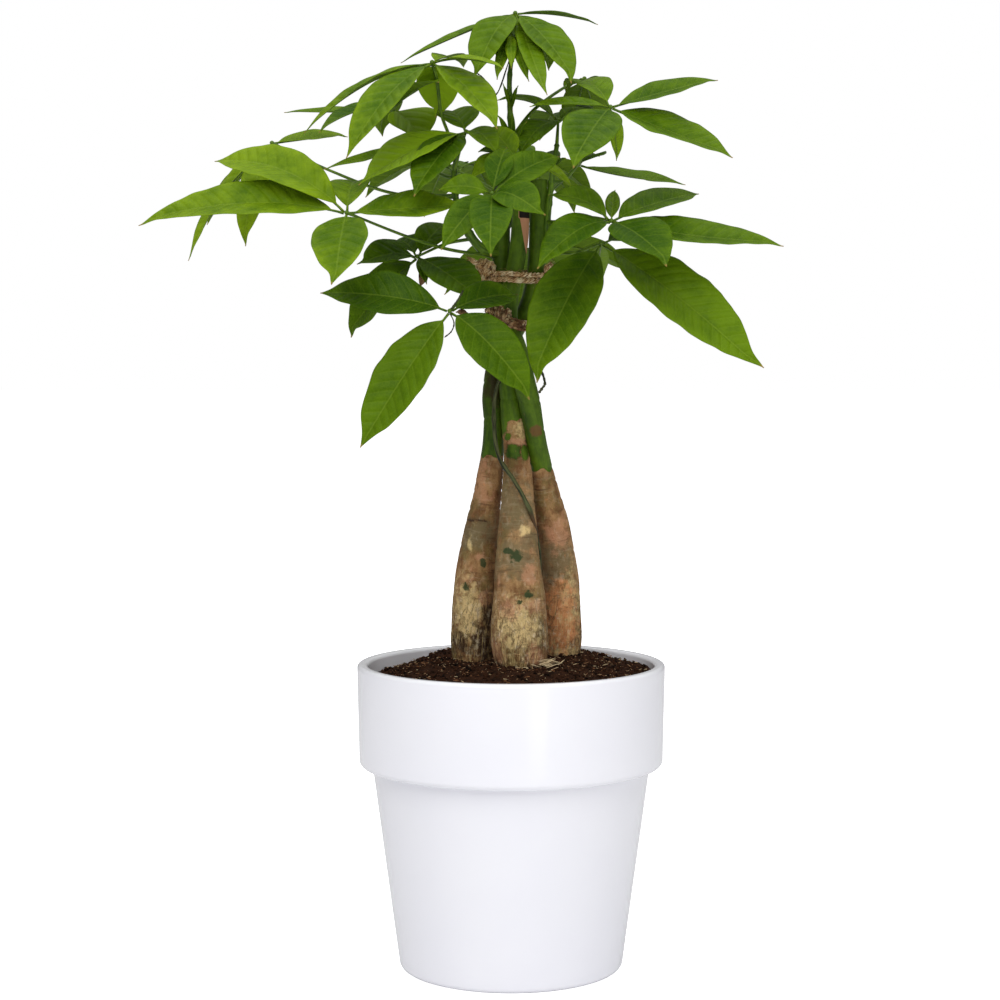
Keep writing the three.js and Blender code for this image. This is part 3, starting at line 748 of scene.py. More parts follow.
def makeTrunk(name, stations, finish):
    look, bark = trunkLook, barks[name]
    skinFrom, outer = bark["skinFrom"], bark["outer"]
    foot, height = stations[0][2], stations[-1][2] - stations[0][2]
    points, radii = stemPath(stations, round(height / look["ringStep"]))

    def barkRelief(grain, place, out):
        level = place.z / mm
        bare = smoothStep(skinFrom - 12, skinFrom + 12, level)
        lump = look["lump"] * noise.noise(grain / (look["lumpPitch"] * mm)) * (1 - 0.6 * bare)
        crease = noise.noise(Vector((grain.x * 60, grain.y * 60, grain.z * 620))) * look["crease"]
        crease *= 1 - 0.7 * bare
        split = abs(noise.noise(Vector((grain.x * 330, grain.y * 330, grain.z * 38))))
        crack = -look["fissure"] * smoothStep(*look["woody"], level) * smoothStep(0.12, 0.0, split)
        waver = 1.5 * noise.noise(out * 1.3)
        rings = sum(math.exp(-((level - scar + waver) / look["scarWidth"]) ** 2) for scar in bark["scars"])
        sides = {"round": 1, "outer": max(out.x * outer, 0), "inner": max(-out.x * outer, 0)}
        swell = sum(size * sides[side] * smoothStep(start, full, level) * smoothStep(end, last, level)
                    for size, side, start, full, last, end in look["swells"])
        return (lump + crease + crack - look["scarDepth"] * rings + swell) * mm

    bm, layers = bentRod(points, radii, look["sides"], relief=barkRelief, lid=look["cutTop"])
    stain = bm.verts.layers.float_vector.new("stain")
    flush = bm.verts.layers.float_vector.new("flush")
    shift = Vector((stations[0][0], stations[0][1], 0)) * 0.01  # so that no two trunks share a pattern
    for vert in bm.verts:
        place = vert.co
        vert[layers["grain"]] += shift
        middle = curvePoint(stations, (place.z / mm - foot) / height) * mm
        marks = bark["marks"] if place.y < middle.y + 0.3 * mm else {}
        weights = {kind: markWeight(place, marks.get(kind, ()))
                   for kind in ("moss", "rust", "dark", "pale", "pink", "skin", "grey")}
        ragged = look["skinRagged"] * noise.noise(place / (6 * mm)) * 0.4
        skin = max(smoothStep(skinFrom - 1.5, skinFrom + 1.5, place.z / mm + ragged), weights["skin"])
        if weights["pale"] > 0.55:
            skin *= 0.2
        # cut is 1 on cut wood and 2 or more where the hollow's shade is painted
        cut = vert[layers["blade"]].y
        if "slash" in bark and place.y <= middle.y:
            cut = max(cut, slashWeight(place, bark["slash"]))
        vert[stain] = (weights["moss"], weights["rust"], weights["dark"])
        vert[flush] = (weights["pale"], weights["pink"], skin)
        vert[layers["blade"]] = (weights["grey"], cut, smoothStep(*look["woody"], place.z / mm))
    finishPiece(pieceName(name) + "Bark", bm, [finish], "bark", name)


bark = barkMaterial()
for name, stations in trunks.items():
    makeTrunk(name, stations, bark)
print("trunks grown")


# The dried stem that climbs the front trunk

slenderLook = {
    "sides": 14, "steps": 150, "slim": (0.84, 0.84), "knuckles": (0.35, 31, 0, 12, 0.12, 500),
    "gloss": (0.6, 0.2), "streaks": (0.1, 900.0, 3.0, 0.5, 0.35, 0.65),
    "spots": (0.5, 60.0, 2.0, 0.5, 0.65, 1.0), "relief": (0.0004, 0.7), "light": srgb(86, 90, 54),
    "dark": srgb(34, 38, 20), "spot": srgb(84, 64, 42),
}


def growStem(name, stations, look, finish, slot, node):
    points, radii = stemPath(stations, look["steps"], look["slim"])
    rod = bentRod(points, radii, look["sides"], relief=knuckles(*look["knuckles"]))[0]
    finishPiece(name, rod, [finish], slot, node)


dried = streakMaterial("driedStem", slenderLook)
growStem("climbingDriedStem", slenderStem, slenderLook, dried, "dried_stem", "slender_stem")
print("slender stem laid")


# Twine

twineLook = {
    "radius": 1.6, "pitch": 3.4, "plies": 3, "plyRadius": 0.9, "plyOffset": 0.88,
    "lay": 9.5, "step": 0.7, "sides": 7, "fibres": 260, "fibreLength": (2, 7),
    "fibreRadii": (0.12, 0.1, 0.03), "frayed": 14, "frayLength": (2.5, 7), "frayRadii": (0.16, 0.13, 0.04),
    "seed": 11,
    # tilt, size, and how far aside and proud each loop of a knot lies
    "knotLoops": [(-16, 7.2, -2.8, 3.2), (6, 6.8, 0.2, 4.0), (24, 5.8, 3.0, 3.0), (88, 4.4, 0, 4.2)],
    "wraps": {
        "twine_upper": {"height": 427.5, "turns": 2, "start": 215, "slope": 1.2, "lift": 2.0, "age": 0.1,
                        "tails": [(215, [-24, -12, 436.5]), (215, [-19, -17, 423]),
                                  (330, [24, -13, 433.5])]},
        "twine_lower": {"height": 400.5, "turns": 2, "start": 240, "slope": 3, "lift": 0, "age": 0.9,
                        "tails": [(240, [-18, -17, 395]), (240, [6, -21, 396])]},
    },
    "light": srgb(252, 234, 192), "mid": srgb(224, 184, 132), "dark": srgb(120, 76, 44),
    "stain": srgb(88, 54, 34),
}


def juteMaterial(name, age):
    look = twineLook
    material, tree, shader = newMaterial(name, 0.92, 0.15)
    grain = attribute(tree, "grain")
    fibres = speckle(scaled(grain, 1, 1, 0.12), 2600.0, 3.0, 0.6)
    colour = mixColour(rise(fibres, 0.38, 0.6), look["dark"], look["mid"])
    bleached = rise(speckle(grain, 120.0, 3.0) + fibres * 0.5, 0.7, 0.88)
    stained = rise(speckle(grain, 90.0, 3.0), 0.54, 0.44) * age
    paint(shader, layered(colour, look, (bleached, "light"), (stained, "stain")), fibres, 0.0005, 1.0)
    return material


def stemAtHeight(stations, height):
    after = next((i for i, station in enumerate(stations) if i and station[2] >= height), len(stations) - 1)
    low, high = stations[after - 1], stations[after]
    share = (height - low[2]) / (high[2] - low[2])
    return [between(low[k], high[k], share) for k in (0, 1, 3)]


def bundleEdge(angle, height, clear):  # the point of the bundle furthest out that way, and clear of it
    way = (math.cos(angle), math.sin(angle))
    reach = -math.inf
    for stations in trunks.values():
        x, y, radius = stemAtHeight(stations, height)
        span = x * way[0] + y * way[1] + radius
        if span > reach:
            reach = span
            edge = (x + way[0] * (radius + clear), y + way[1] * (radius + clear), height)
    return Vector(edge)


def layTwine(bm, path):
    look = twineLook
    points = evenPoints(path, look["step"] * mm)
    frames = steadyFrames(points)
    for ply in range(look["plies"]):
        strand = []
        for i, (point, (side, up)) in enumerate(zip(points, frames)):
            turn = fullTurn * (ply / look["plies"] + i * look["step"] / look["lay"])
            strand.append(point + (side * math.cos(turn) + up * math.sin(turn)) * look["plyOffset"] * mm)
        radii = [look["plyRadius"] * mm * (1 + 0.12 * math.sin(i * 0.9 + ply)) for i in range(len(strand))]
        addRod(bm, strand, radii, look["sides"])
    return points, frames


def frayEnd(bm, tip, along, chance):
    look = twineLook
    for _ in range(look["frayed"]):
        way = (along + Vector([chance.uniform(-1, 1) for _ in range(3)]) * 0.45).normalized()
        length = chance.uniform(*look["frayLength"]) * mm
        bend = Vector([chance.uniform(-1, 1) for _ in range(3)]) * 0.8 * mm
        points = [tip - along * 1.5 * mm, tip + way * length * 0.5 + bend, tip + way * length + bend * 0.4]
        addRod(bm, points, [radius * mm for radius in look["frayRadii"]], 4)


def tieKnot(bm, knot, outward):
    across = Vector((-outward.y, outward.x, 0))
    for tilt, size, aside, proud in twineLook["knotLoops"]:
        lean = math.radians(tilt)
        standing = Vector((0, 0, 1)) * math.cos(lean) + across * math.sin(lean)
        middle = knot + (across * aside + outward * proud) * mm
        turns = [fullTurn * k / 40 for k in range(41)]
        layTwine(bm, [middle + (outward * 0.55 * math.sin(turn) + standing * math.cos(turn)) * size * mm
                      for turn in turns])


def addFibre(bm, points, frames, chance):
    look = twineLook
    i = chance.randrange(2, len(points) - 2)
    side, up = frames[i]
    turn = chance.uniform(0, fullTurn)
    out = side * math.cos(turn) + up * math.sin(turn)
    along = (points[i + 1] - points[i - 1]).normalized() * chance.choice((-1, 1))
    length = chance.uniform(*look["fibreLength"]) * mm
    start = points[i] + out * look["radius"] * 0.8 * mm
    middle = start + (along * 0.8 + out * chance.uniform(0.1, 0.5)) * length * 0.5
    end = start + (along + out * chance.uniform(-0.1, 0.6) + up * chance.uniform(-0.3, 0.3)) * length
    addRod(bm, [start, middle, end], [radius * mm for radius in look["fibreRadii"]], 3)


def makeTwine(name, wrap, jute):
    look = twineLook
    chance = random.Random(look["seed"])
    bm = bmesh.new()
    clear = look["radius"] + 2 * gap
    steps = wrap["turns"] * 90
    path = []
    for i in range(steps + 1):
        share = i / steps
        angle = math.radians(wrap["start"] + 360 * wrap["turns"] * share)
        level = wrap["height"] + look["pitch"] * wrap["turns"] * (share - 0.5)
        level -= wrap["slope"] * math.cos(angle)
        path.append(bundleEdge(angle, level, clear) * mm)
    points, frames = layTwine(bm, path)
    start = math.radians(wrap["start"])
    outward = Vector((math.cos(start), math.sin(start), 0))
    tieKnot(bm, (bundleEdge(start, wrap["height"], clear) + Vector((0, 0, wrap["lift"]))) * mm, outward)
    for leaving, tail in wrap["tails"]:
        tip = Vector(tail) * mm
        root = bundleEdge(math.radians(leaving), wrap["height"] + wrap["lift"], clear) * mm
        bow = root.lerp(tip, 0.5) + outward * 1.2 * mm + Vector((0, 0, 0.8 * mm))
        layTwine(bm, [curvePoint([root, bow, tip], k / 20) for k in range(21)])
        frayEnd(bm, tip, (tip - bow).normalized(), chance)
    for _ in range(look["fibres"]):
        addFibre(bm, points, frames, chance)
    finishPiece(pieceName(name) + "Jute", bm, [jute], "jute_twine", name)


for name, wrap in twineLook["wraps"].items():
    makeTwine(name, wrap, juteMaterial(pieceName(name), wrap["age"]))
print("twine tied")


# Shoots

shoots = {
    "left": [
        [-8, 5, 441, 3.2], [-17, 0, 443, 3.2], [-25, -2, 452, 3], [-31, -2, 464, 2.7], [-34, 0, 476, 2.4],
        [-35, 1, 486, 2.1], [-34, 2, 497, 1.8],
    ],
    "centre": [
        [-6, 8, 450, 3], [-2, 12, 461, 3], [2, 11, 473, 2.8], [2, 6, 494, 2.5], [0, 5, 515, 2.3],
        [-1, 3, 545, 1.9], [1, 0, 564, 1.5], [1, -7, 572, 1.3],
    ],
    "right": [
        [16, 5, 438, 3], [23, 3, 445, 3], [22, 2, 460, 2.8], [24, 3, 479, 2.4], [26, 6, 494, 2.1],
        [28, 9, 507, 1.8],
    ],
    "back": [
        [17, 5, 445, 3], [16, 20, 451, 3], [14, 38, 459, 2.7], [12, 52, 474, 2.3], [9, 64, 488, 1.8],
    ],
}
shootLook = {
    "sides": 24, "steps": 70, "slim": (1, 0.8), "knuckles": (0.45, 13, 1, 10, 0.1, 400),
    "gloss": (0.45, 0.25), "streaks": (0.14, 700.0, 3.0, 0.55, 0.32, 0.7),
    "spots": (0.5, 900.0, 1.0, 0.68, 0.76, 0.6), "relief": (0.0003, 0.5), "light": srgb(102, 134, 30),
    "dark": srgb(50, 80, 12), "spot": srgb(96, 84, 48),
}
green = streakMaterial("greenShoot", shootLook)
for name, stations in shoots.items():
    growStem("shoot" + name.capitalize(), stations, shootLook, green, "green_shoot", "shoot_" + name)
print("shoots grown")


# Leaves

leafLook = {
    "fold": 14, "wave": 0.05, "waveRate": 7, "archLead": 0.85, "rootInset": 1.5, "stalkShare": 0.06,
    "oval": (0.85, 1.05, 0.271),  # how fast a blade narrows to the hub and to the tip, and its fullest value
    "drip": (0.3, 0.8, 0.97),  # how much finer the tip is, and where along the blade that starts and is full
    "stalkRadius": (1.2, 0.75), "cushions": (0.6, 0.5), "hubRadius": 1.4, "blade": 0.42, "least": 0.5,
    "step": 1.25, "stalkSides": 10, "stalkSteps": 40, "ribSides": 6, "ribRadius": (0.85, 0.22),
    "veinPitch": 7.2, "veinSlope": 0.62, "veinBow": 0.012, "veinStagger": 0.22, "pucker": 0.33,
    "edgeRipple": 0.9, "ripplePitch": 11, "outlineRipple": 0.06, "tipDroop": 2.0, "tipSwing": 3.0,
    "seed": 21,
    "tints": {  # dark and light
        "fresh": (srgb(66, 98, 6), srgb(126, 154, 20)),
        "mid": (srgb(48, 80, 3), srgb(98, 128, 12)),
        "deep": (srgb(46, 76, 3), srgb(86, 116, 9)),
    },
    "vein": srgb(134, 160, 44), "rib": srgb(144, 168, 56), "under": srgb(108, 136, 44),
    # tip is the dried brown tip; the yellow-green after it is painted light, the glow of a leaflet lit from
    # behind
    "tip": srgb(170, 132, 80), "young": srgb(148, 184, 30),
    "faces": {  # specular, roughness, how far the under tone, the veins and the midrib show, and the bump
        "leaf": (0.055, 0.34, 0.0, 0.09, 0.2, 0.0005), "leafUnder": (0.04, 0.46, 0.35, 0.3, 0.6, 0.0004),
    },
    "stalk": {"gloss": (0.42, 0.25), "streaks": (0.12, 1100.0, 2.0, 0.5, 0.35, 0.75),
              "relief": (0.0002, 0.5), "light": srgb(116, 146, 36), "dark": srgb(62, 92, 14)},
}
# Name, tint, the stem and the share along it, the stalk's points up to the hub, the way the leaf faces,
# and its leaflets, which are the tip, the width, how far it arches and, on some, the shade. The shade is
# partly the leaflet's own tone and partly painted light, lighter or darker for how light falls on it,
# and above 1 it paints the glow of light through the blade
leaves = [
    ("leaf_left_long", "fresh", "left", 0.04, [[-24, -4, 441], [-43, -17, 444], [-66, -36, 451],
                                               [-97, -48, 463]],
     [-0.1, -0.6, 0.8], [
        [-221, -40, 459, 35, 9, 0.5], [-181, -8, 497, 34, 13, 0.7], [-93, 6, 484, 26, 8],
        [-26, -45, 468, 27, 0, 0.35], [-100, -100, 421, 33, 3, 0.15],
    ]),
    ("leaf_left_hanging", "fresh", "left", 0.66, [[-73, 22, 479], [-112, 24, 493], [-148, 22, 510]],
     [0, -0.35, 0.94], [
        [-203, 34, 438, 22, 6, 0.9], [-164, 0, 446, 19, 6], [-103, 40, 517, 20, 0, 0.4],
        [-158, 88, 476, 26, 0], [-196, 76, 464, 24, 2],
    ]),
    ("leaf_left_low", "deep", "left", 0.3, [[-40, 4, 447], [-57, -4, 439]], [0.05, -0.55, 0.83], [
        [-92, -20, 434, 26, 4, 0.4], [-77, 38, 448, 22, 6], [-101, 8, 392, 38, 2, 0.5],
        [-51, -20, 422, 7, 1], [-17, -38, 411, 31, 2, 0.4], [-40, 20, 461, 20, 3],
    ]),
    ("leaf_low_broad", "deep", "trunk_front", 0.845, [[-16, -12, 417], [-25, -34, 416], [-36, -58, 405]],
     [-0.1, -0.75, 0.66], [
        [-113, -50, 416, 31, 5, 0.15], [-88, -72, 325.5, 35, 3, 1.0], [12, -76, 355, 31, 8, 0.4],
        [5, -38, 415, 24, 4, 0.2],
    ]),
    ("leaf_front", "mid", "centre", 0.3, [[-2, -30, 483], [-7, -50, 480], [-11, -66, 473]],
     [0, -0.8, 0.6], [
        [-12, -112, 436, 25, 6, 0.1], [-3, -44, 502, 17, 4, 0.1], [-42, -62, 476, 16, 4],
        [-40, -92, 440, 20, 5, 0.2], [29, -42, 497, 23, 5, 0.3], [18, -92, 459, 24, 6, 0.2],
    ]),
    ("leaf_top_left", "fresh", "left", 1, [[-37, -10, 510], [-42, -18, 524], [-44, -27, 542],
                                           [-47, -30, 553]],
     [0, -0.25, 0.97], [
        [-124, -30, 512, 18, 7], [-95, -72, 494, 29, 7, 0.2], [-7, -72, 511, 26, 4, 0.45],
        [-4, -66, 546, 13, 3, 0.9], [-28, 26, 558, 18, 4], [-80, 30, 534, 18, 4],
        [-43.5, -4, 524, 26, 3, 1.9],
    ]),
    ("leaf_top", "mid", "centre", 0.8, [[4, 4, 566], [2.5, 2, 586.5]], [0, -0.2, 0.98], [
        [-67, -8, 556, 14, 1], [-21, -33, 545, 27, 6, 0.6], [38, -40, 541, 27, 4, 0.6],
        [20, -60, 531, 14, 1, 0.9], [53, 12, 582, 15, 2], [-7, 62, 564, 24, 5], [26, 58, 560, 24, 5],
    ]),
    ("leaf_young", "fresh", "centre", 0.97, [[0, -13, 573]], [0, -0.6, 0.8], [
        [-9, -30, 543, 8, 2], [0, -36, 549, 7, 2], [10, -38, 541, 8, 2],
    ]),
    ("leaf_right_high", "mid", "right", 0.66, [[35, -2, 488], [49, -20, 508], [59, -36, 526]],
     [0.05, -0.45, 0.89], [
        [123, -28, 544, 23, 0], [130, -56, 496, 35, -1, 0.6], [35, 22, 545, 24, 8, 0.9],
        [11, -36, 527, 14, 2], [35, -86, 488, 33, 3, 0.3], [65, 4, 498, 10, 2, 1.7],
    ]),
    ("leaf_right_long", "mid", "right", 0.4, [[34, -14, 460], [47, -34, 461], [59, -52, 458]],
     [0, -0.5, 0.86], [
        [161, -50, 445, 31, -3, 0.5], [114, -18, 477, 27, 2], [62, -14, 479, 9, 0], [22, -46, 474, 24, 5],
        [15, -88, 430, 28, 7], [90, -98, 432, 34, 3, 0.0],
    ]),
    ("leaf_right_broad", "mid", "right", 0.14, [[38, -14, 441], [54, -28, 446]], [0, -0.72, 0.7], [
        [146, -66, 371, 41, 5, 0.95], [12, -62, 365, 39, 8, 0.45], [54, 44, 420, 12, 3, 1.2],
        [96, 22, 444, 24, 8],
    ]),
    ("leaf_right_middle", "deep", "right", 0.6, [[34, 18, 489], [42, 26, 497]], [0, -0.3, 0.95], [
        [108, 20, 485, 22, -2, 1.1], [56, 80, 508, 22, 2],
    ]),
    ("leaf_centre_left", "mid", "left", 0.92, [[-31, -10, 503], [-27, -20, 513]], [-0.05, -0.45, 0.89], [
        [-114, -10, 492, 16, -1, 0.9], [-89, -50, 480, 33, 4, 1.5], [-57, -62, 473, 28, 4, 0.1],
        [-37, 8, 529, 26, 2, 0.7], [-8, -48, 498, 18, 5],
    ]),
    ("leaf_left_high", "mid", "left", 0.84, [[-46, 8, 492], [-60, 12, 512], [-73, 16, 530]],
     [0, -0.3, 0.95], [
        [-140, 18, 529, 13, -1], [-117, -6, 515, 20, 5, 0.1], [-54, 6, 510, 40, 2, 1.4],
        [-42, -37, 542, 24, 3, 0.8], [-84, 72, 520, 22, 8],
    ]),
    ("leaf_centre", "fresh", "centre", 0.42, [[4, -14, 488], [3, -30, 494]], [0, -0.5, 0.86], [
        [38, -20, 478, 18, 5], [-16, -8, 517, 20, 4], [-24, -38, 484, 18, 5],
    ]),
    ("leaf_right_inner", "deep", "right", 1, [[29, 14, 523]], [0, -0.25, 0.97], [
        [-8, 18, 537, 20, 5], [50, -6, 527, 17, 4], [5, -16, 500, 24, 5], [52, 62, 512, 22, 8],
        [20, 76, 518, 24, 8],
    ]),
    ("leaf_right_back_high", "mid", "centre", 0.55, [[14, 20, 530], [34, 36, 546], [46, 44, 552]],
     [0, -0.1, 1], [
        [61, 44, 548, 12, 2], [34, 38, 543, 14, 2], [40, 108, 522, 20, 3], [58, 102, 518, 20, 3],
    ]),
    ("leaf_back_left", "deep", "back", 0.6, [[-12, 56, 484], [-34, 66, 496]], [0, 0.2, 0.97], [
        [-96, 104, 484, 30, 12], [-58, 152, 474, 34, 14], [-10, 140, 478, 30, 14], [-88, 48, 504, 24, 8],
    ]),
    ("leaf_back_right", "mid", "back", 1, [[12, 84, 500]], [0, 0.2, 0.97], [
        [-14, 132, 508, 26, 10], [20, 168, 484, 34, 16], [44, 148, 476, 28, 12], [54, 106, 482, 22, 9],
    ]),
    ("leaf_back_low", "deep", "back", 0.4, [[14, 60, 452], [16, 78, 448]], [0, 0.45, 0.89], [
        [-44, 108, 420, 30, 8], [4, 146, 398, 36, 10], [47, 132, 405, 31, 10], [80, 82, 432, 26, 8],
    ]),
]


# Where the veins run on a blade: across and along are metres from the midrib and from the hub
def makeVeinGroup():
    tree, given, wanted = newGroup("bladeVeins", {
        "Blade": "Vector", "Pitch": "Float", "Slope": "Float", "Bow": "Float",
    }, {"Veins": "Float", "Midrib": "Float", "Swell": "Float"})
    across, along, edge = axes(given["Blade"])
    aside = maths("ABSOLUTE", across)
    reached = along - (aside * given["Slope"] + aside * aside * given["Bow"])
    place = maths("FRACT", reached / given["Pitch"] + maths("SIGN", across) * leafLook["veinStagger"])
    near = maths("MINIMUM", place, 1.0 - place) * given["Pitch"]
    fade = rise(edge, 0.97, 0.72)
    feed(wanted["Veins"], rise(near, 0.00065, 0.0001) * fade)
    feed(wanted["Midrib"], rise(aside, 0.0007, 0.0002))
    feed(wanted["Swell"], rise(near, 0.0, 0.0024) * fade)
    return tree


bladeVeins = makeVeinGroup()


def leafMaterial(side, tint):
    look = leafLook
    dark, light = look["tints"][tint]
    specular, gloss, under, vein, midrib, relief = look["faces"][side]
    material, tree, shader = newMaterial(side + tint.capitalize(), gloss, specular)
    blade, place = attribute(tree, "blade"), objectPlace(tree)
    shade, reach, _ = axes(attribute(tree, "tone"))
    across, _, edge = axes(blade)
    veins = useGroup(tree, bladeVeins, {"Blade": blade, "Pitch": look["veinPitch"] * mm,
                                        "Slope": look["veinSlope"], "Bow": look["veinBow"] / mm})
    blotch = speckle(place, 85.0, 4.0, 0.6)
    fine = speckle(place, 1500.0, 2.0, 0.6)
    # shade is partly the leaflet's tone and partly painted light, set lighter or darker for the light on it
    mottle = shade * 0.55 + blotch * 1.15 - 0.45 + maths("POWER", edge, 4.0) * 0.22
    mottle += rise(reach, 0.45, 1.0) * 0.22
    colour = mixColour(rise(mottle, 0.0, 1.0), dark, light)
    # A shade over 1 mixes in painted light, the yellow-green glow of light shining through the blade.
    colour = layered(
        colour, look, (under, "under"), (rise(shade, 1.0, 2.0), "young"),
        (rise(plateEdges(place, 520.0), 0.1, 0.0) * 0.1, "vein"), (veins["Veins"] * vein, "vein"))
    colour = mixColour(rise(maths("ABSOLUTE", across), 0.0022, 0.0004) * 0.16, colour, dark)
    colour = layered(colour, look, (veins["Midrib"] * midrib, "rib"),
                     (rise(reach, 0.965, 0.995) * 0.8, "tip"))
    paint(shader, colour, fine * 0.22 + veins["Swell"] + blotch * 1.6, relief, 0.5, fine * 0.14 + gloss)
    return material


def halfWidth(t, width, ragged):  # half of the blade's width a share t along it
    rootward, tipward, most = leafLook["oval"]
    thinned, start, end = leafLook["drip"]
    past = max(t - leafLook["stalkShare"], 0) / (1 - leafLook["stalkShare"])
    oval = past ** rootward * (1 - past) ** tipward / most
    return max(width * oval * ragged * (1 - thinned * smoothStep(start, end, t)), leafLook["least"]) / 2


def layLeaflet(bm, layers, hub, leaflet, face, wavePhase, chance):
    look = leafLook
    side = chance.uniform(-1, 1)
    # the sixth number, else a random one, is the shade; given shades are partly painted light
    *tip, width, arch, shade = (*leaflet, chance.random())[:6]
    shift = Vector([chance.uniform(-50, 50) for _ in range(3)])
    along = (Vector(tip) - hub).normalized()
    start = hub + along * look["rootInset"]
    reach = Vector(tip) - start
    up = (face - along * face.dot(along)).normalized()
    across = along.cross(up)
    droop, swing = look["tipDroop"] * width / 30, side * look["tipSwing"] * width / 30
    fold = math.tan(math.radians(look["fold"]))

    def midrib(t):
        end = smoothStep(0.84, 1.0, t) ** 2
        return start + reach * t + up * arch * math.sin(math.pi * t ** look["archLead"]) \
            - up * droop * end + across * swing * end

    def frameAt(t):
        heading = (midrib(min(t + 0.02, 1)) - midrib(max(t - 0.02, 0))).normalized()
        normal = (up - heading * up.dot(heading)).normalized()
        return normal, heading.cross(normal).normalized()

    length = reach.length
    rows = max(12, round(length / look["step"]))
    columns = 2 * max(3, round(width / 2 / look["step"]))
    upper = bmesh.ops.create_grid(bm, x_segments=columns, y_segments=rows, size=1)["verts"]
    sheet = list({face for vert in upper for face in vert.link_faces})
    grown = bmesh.ops.extrude_face_region(bm, geom=sheet, use_keep_orig=True)["geom"]
    lower = [part for part in grown if isinstance(part, bmesh.types.BMVert)]
    faces = {face for vert in lower for face in vert.link_faces} | set(sheet)
    frames = {}
    for over, verts in ((1, upper), (-1, lower)):
        for vert in verts:
            k, t = vert.co.x, (vert.co.y + 1) / 2
            key = round(t * rows)
            if key not in frames:
                frames[key] = (midrib(t), *frameAt(t))
            middle, normal, sideways = frames[key]
            ragged = 1 + look["outlineRipple"] * noise.noise(Vector((k * 2, t * length / 9, 0)) + shift)
            half = halfWidth(t, width, ragged)
            off = half * k
            wave = look["wave"] * k * math.sin(look["waveRate"] * t + wavePhase)
            ripple = noise.noise(Vector((math.copysign(3, k), t * length / look["ripplePitch"], 0)) + shift)
            ripple *= look["edgeRipple"] * abs(k) ** 3 * min(1, half / 8)
            phase = t * length - abs(off) * look["veinSlope"] - look["veinBow"] * off * off
            phase = phase / look["veinPitch"] + math.copysign(look["veinStagger"], off)
            uneven = 0.9 + 1.6 * noise.noise(Vector((off / 9, t * length / 14, 5)) + shift)
            pucker = look["pucker"] * abs(math.sin(math.pi * phase)) * uneven * (1 - abs(k) ** 4)
            pucker *= min(1, half / 7)
            lift = half * (fold * abs(k) + wave) + ripple + pucker * smoothStep(0, 2.5, abs(off))
            thick = look["blade"] * (1 - 0.6 * abs(k) ** 6) / 2
            vert[layers["blade"]] = (off * mm, t * length * mm, abs(k))
            vert[layers["tone"]] = (shade, t, 0)
            vert.co = (middle + sideways * off + normal * (lift + over * thick)) * mm
    upperVerts = set(upper)
    for face in faces:
        face.material_index = 0 if all(vert in upperVerts for vert in face.verts) else 1
    bmesh.ops.recalc_face_normals(bm, faces=list(faces))
    steps = max(8, rows // 3)
    rib, radii = [], []
    for i in range(steps + 1):
        t = i / steps * 0.97
        radius = between(*look["ribRadius"], t ** 0.6) * min(1, 0.45 + width / 50)
        rib.append((midrib(t) - frameAt(t)[0] * radius * 0.75) * mm)
        radii.append(radius * mm)
    addRod(bm, rib, radii, look["ribSides"], 2)


def makeLeaf(order, finishes, name, tint, stem, share, stalk, face, leaflets):
    look = leafLook
    chance = random.Random(look["seed"] + order)
    bm = bmesh.new()
    layers = bladeLayers(bm)
    route = [list(curvePoint(trunks.get(stem) or shoots[stem], share)), *stalk]
    atFoot, atHub = look["cushions"]
    points, radii = [], []
    for i in range(look["stalkSteps"] + 1):
        u = i / look["stalkSteps"]
        points.append(curvePoint(route, u) * mm)
        cushion = atFoot * smoothStep(0.1, 0.0, u) + atHub * smoothStep(0.95, 1.0, u)
        radii.append((between(*look["stalkRadius"], u) + cushion) * mm)
    addRod(bm, points, radii, look["stalkSides"], 2)
    hub = Vector(stalk[-1])
    knob = bmesh.ops.create_icosphere(bm, subdivisions=3, radius=look["hubRadius"] * mm,
                                      matrix=Matrix.Translation(hub * mm))["verts"]
    for knobFace in {knobFace for vert in knob for knobFace in vert.link_faces}:
        knobFace.material_index = 2
    for i, leaflet in enumerate(leaflets):
        layLeaflet(bm, layers, hub, leaflet, Vector(face), order * 1.7 + i * 2.3, chance)
    finishPiece(pieceName(name), bm, finishes[tint], "leaf_" + tint, name)


stalk = streakMaterial("leafStalk", leafLook["stalk"])
finishes = {tint: [leafMaterial("leaf", tint), leafMaterial("leafUnder", tint), stalk]
            for tint in leafLook["tints"]}
for order, leaf in enumerate(leaves):
    makeLeaf(order, finishes, *leaf)
print("leaves opened")


# Unopened leaves on the centre and right shoots

buds = {
    "tint": "mid", "face": (0, -0.7, 0.7), "seed": 17,
    "tufts": [  # the point they grow from and the tips
        ([0, 2, 503], [[-16, -8, 514, 7, 1, 0.2], [-8, -14, 524, 6, 1, 0.5], [1, -14, 526, 5, 1, 0.1],
                       [9, -10, 520, 6, 1, 0.4], [-20, -2, 503, 8, 1, 0.1]]),
        ([0, 4, 527], [[-5, -6, 543, 3.5, 0.6, 0.6], [4, -6, 542, 3.5, 0.6, 0.2]]),
        ([25, 6, 490], [[33, -4, 499, 6, 1, 0.2], [20, -6, 500, 5, 1, 0.5]]),
    ],
}


def makeBuds():
    chance = random.Random(buds["seed"])
    bm = bmesh.new()
    layers = bladeLayers(bm)
    for start, tips in buds["tufts"]:
        for tip in tips:
            layLeaflet(bm, layers, Vector(start), tip, Vector(buds["face"]), chance.uniform(0, 6), chance)
    finishPiece("unopenedBuds", bm, finishes[buds["tint"]], "leaf_" + buds["tint"])


makeBuds()
print("buds set")


# Dried scraps that still hang on the plant

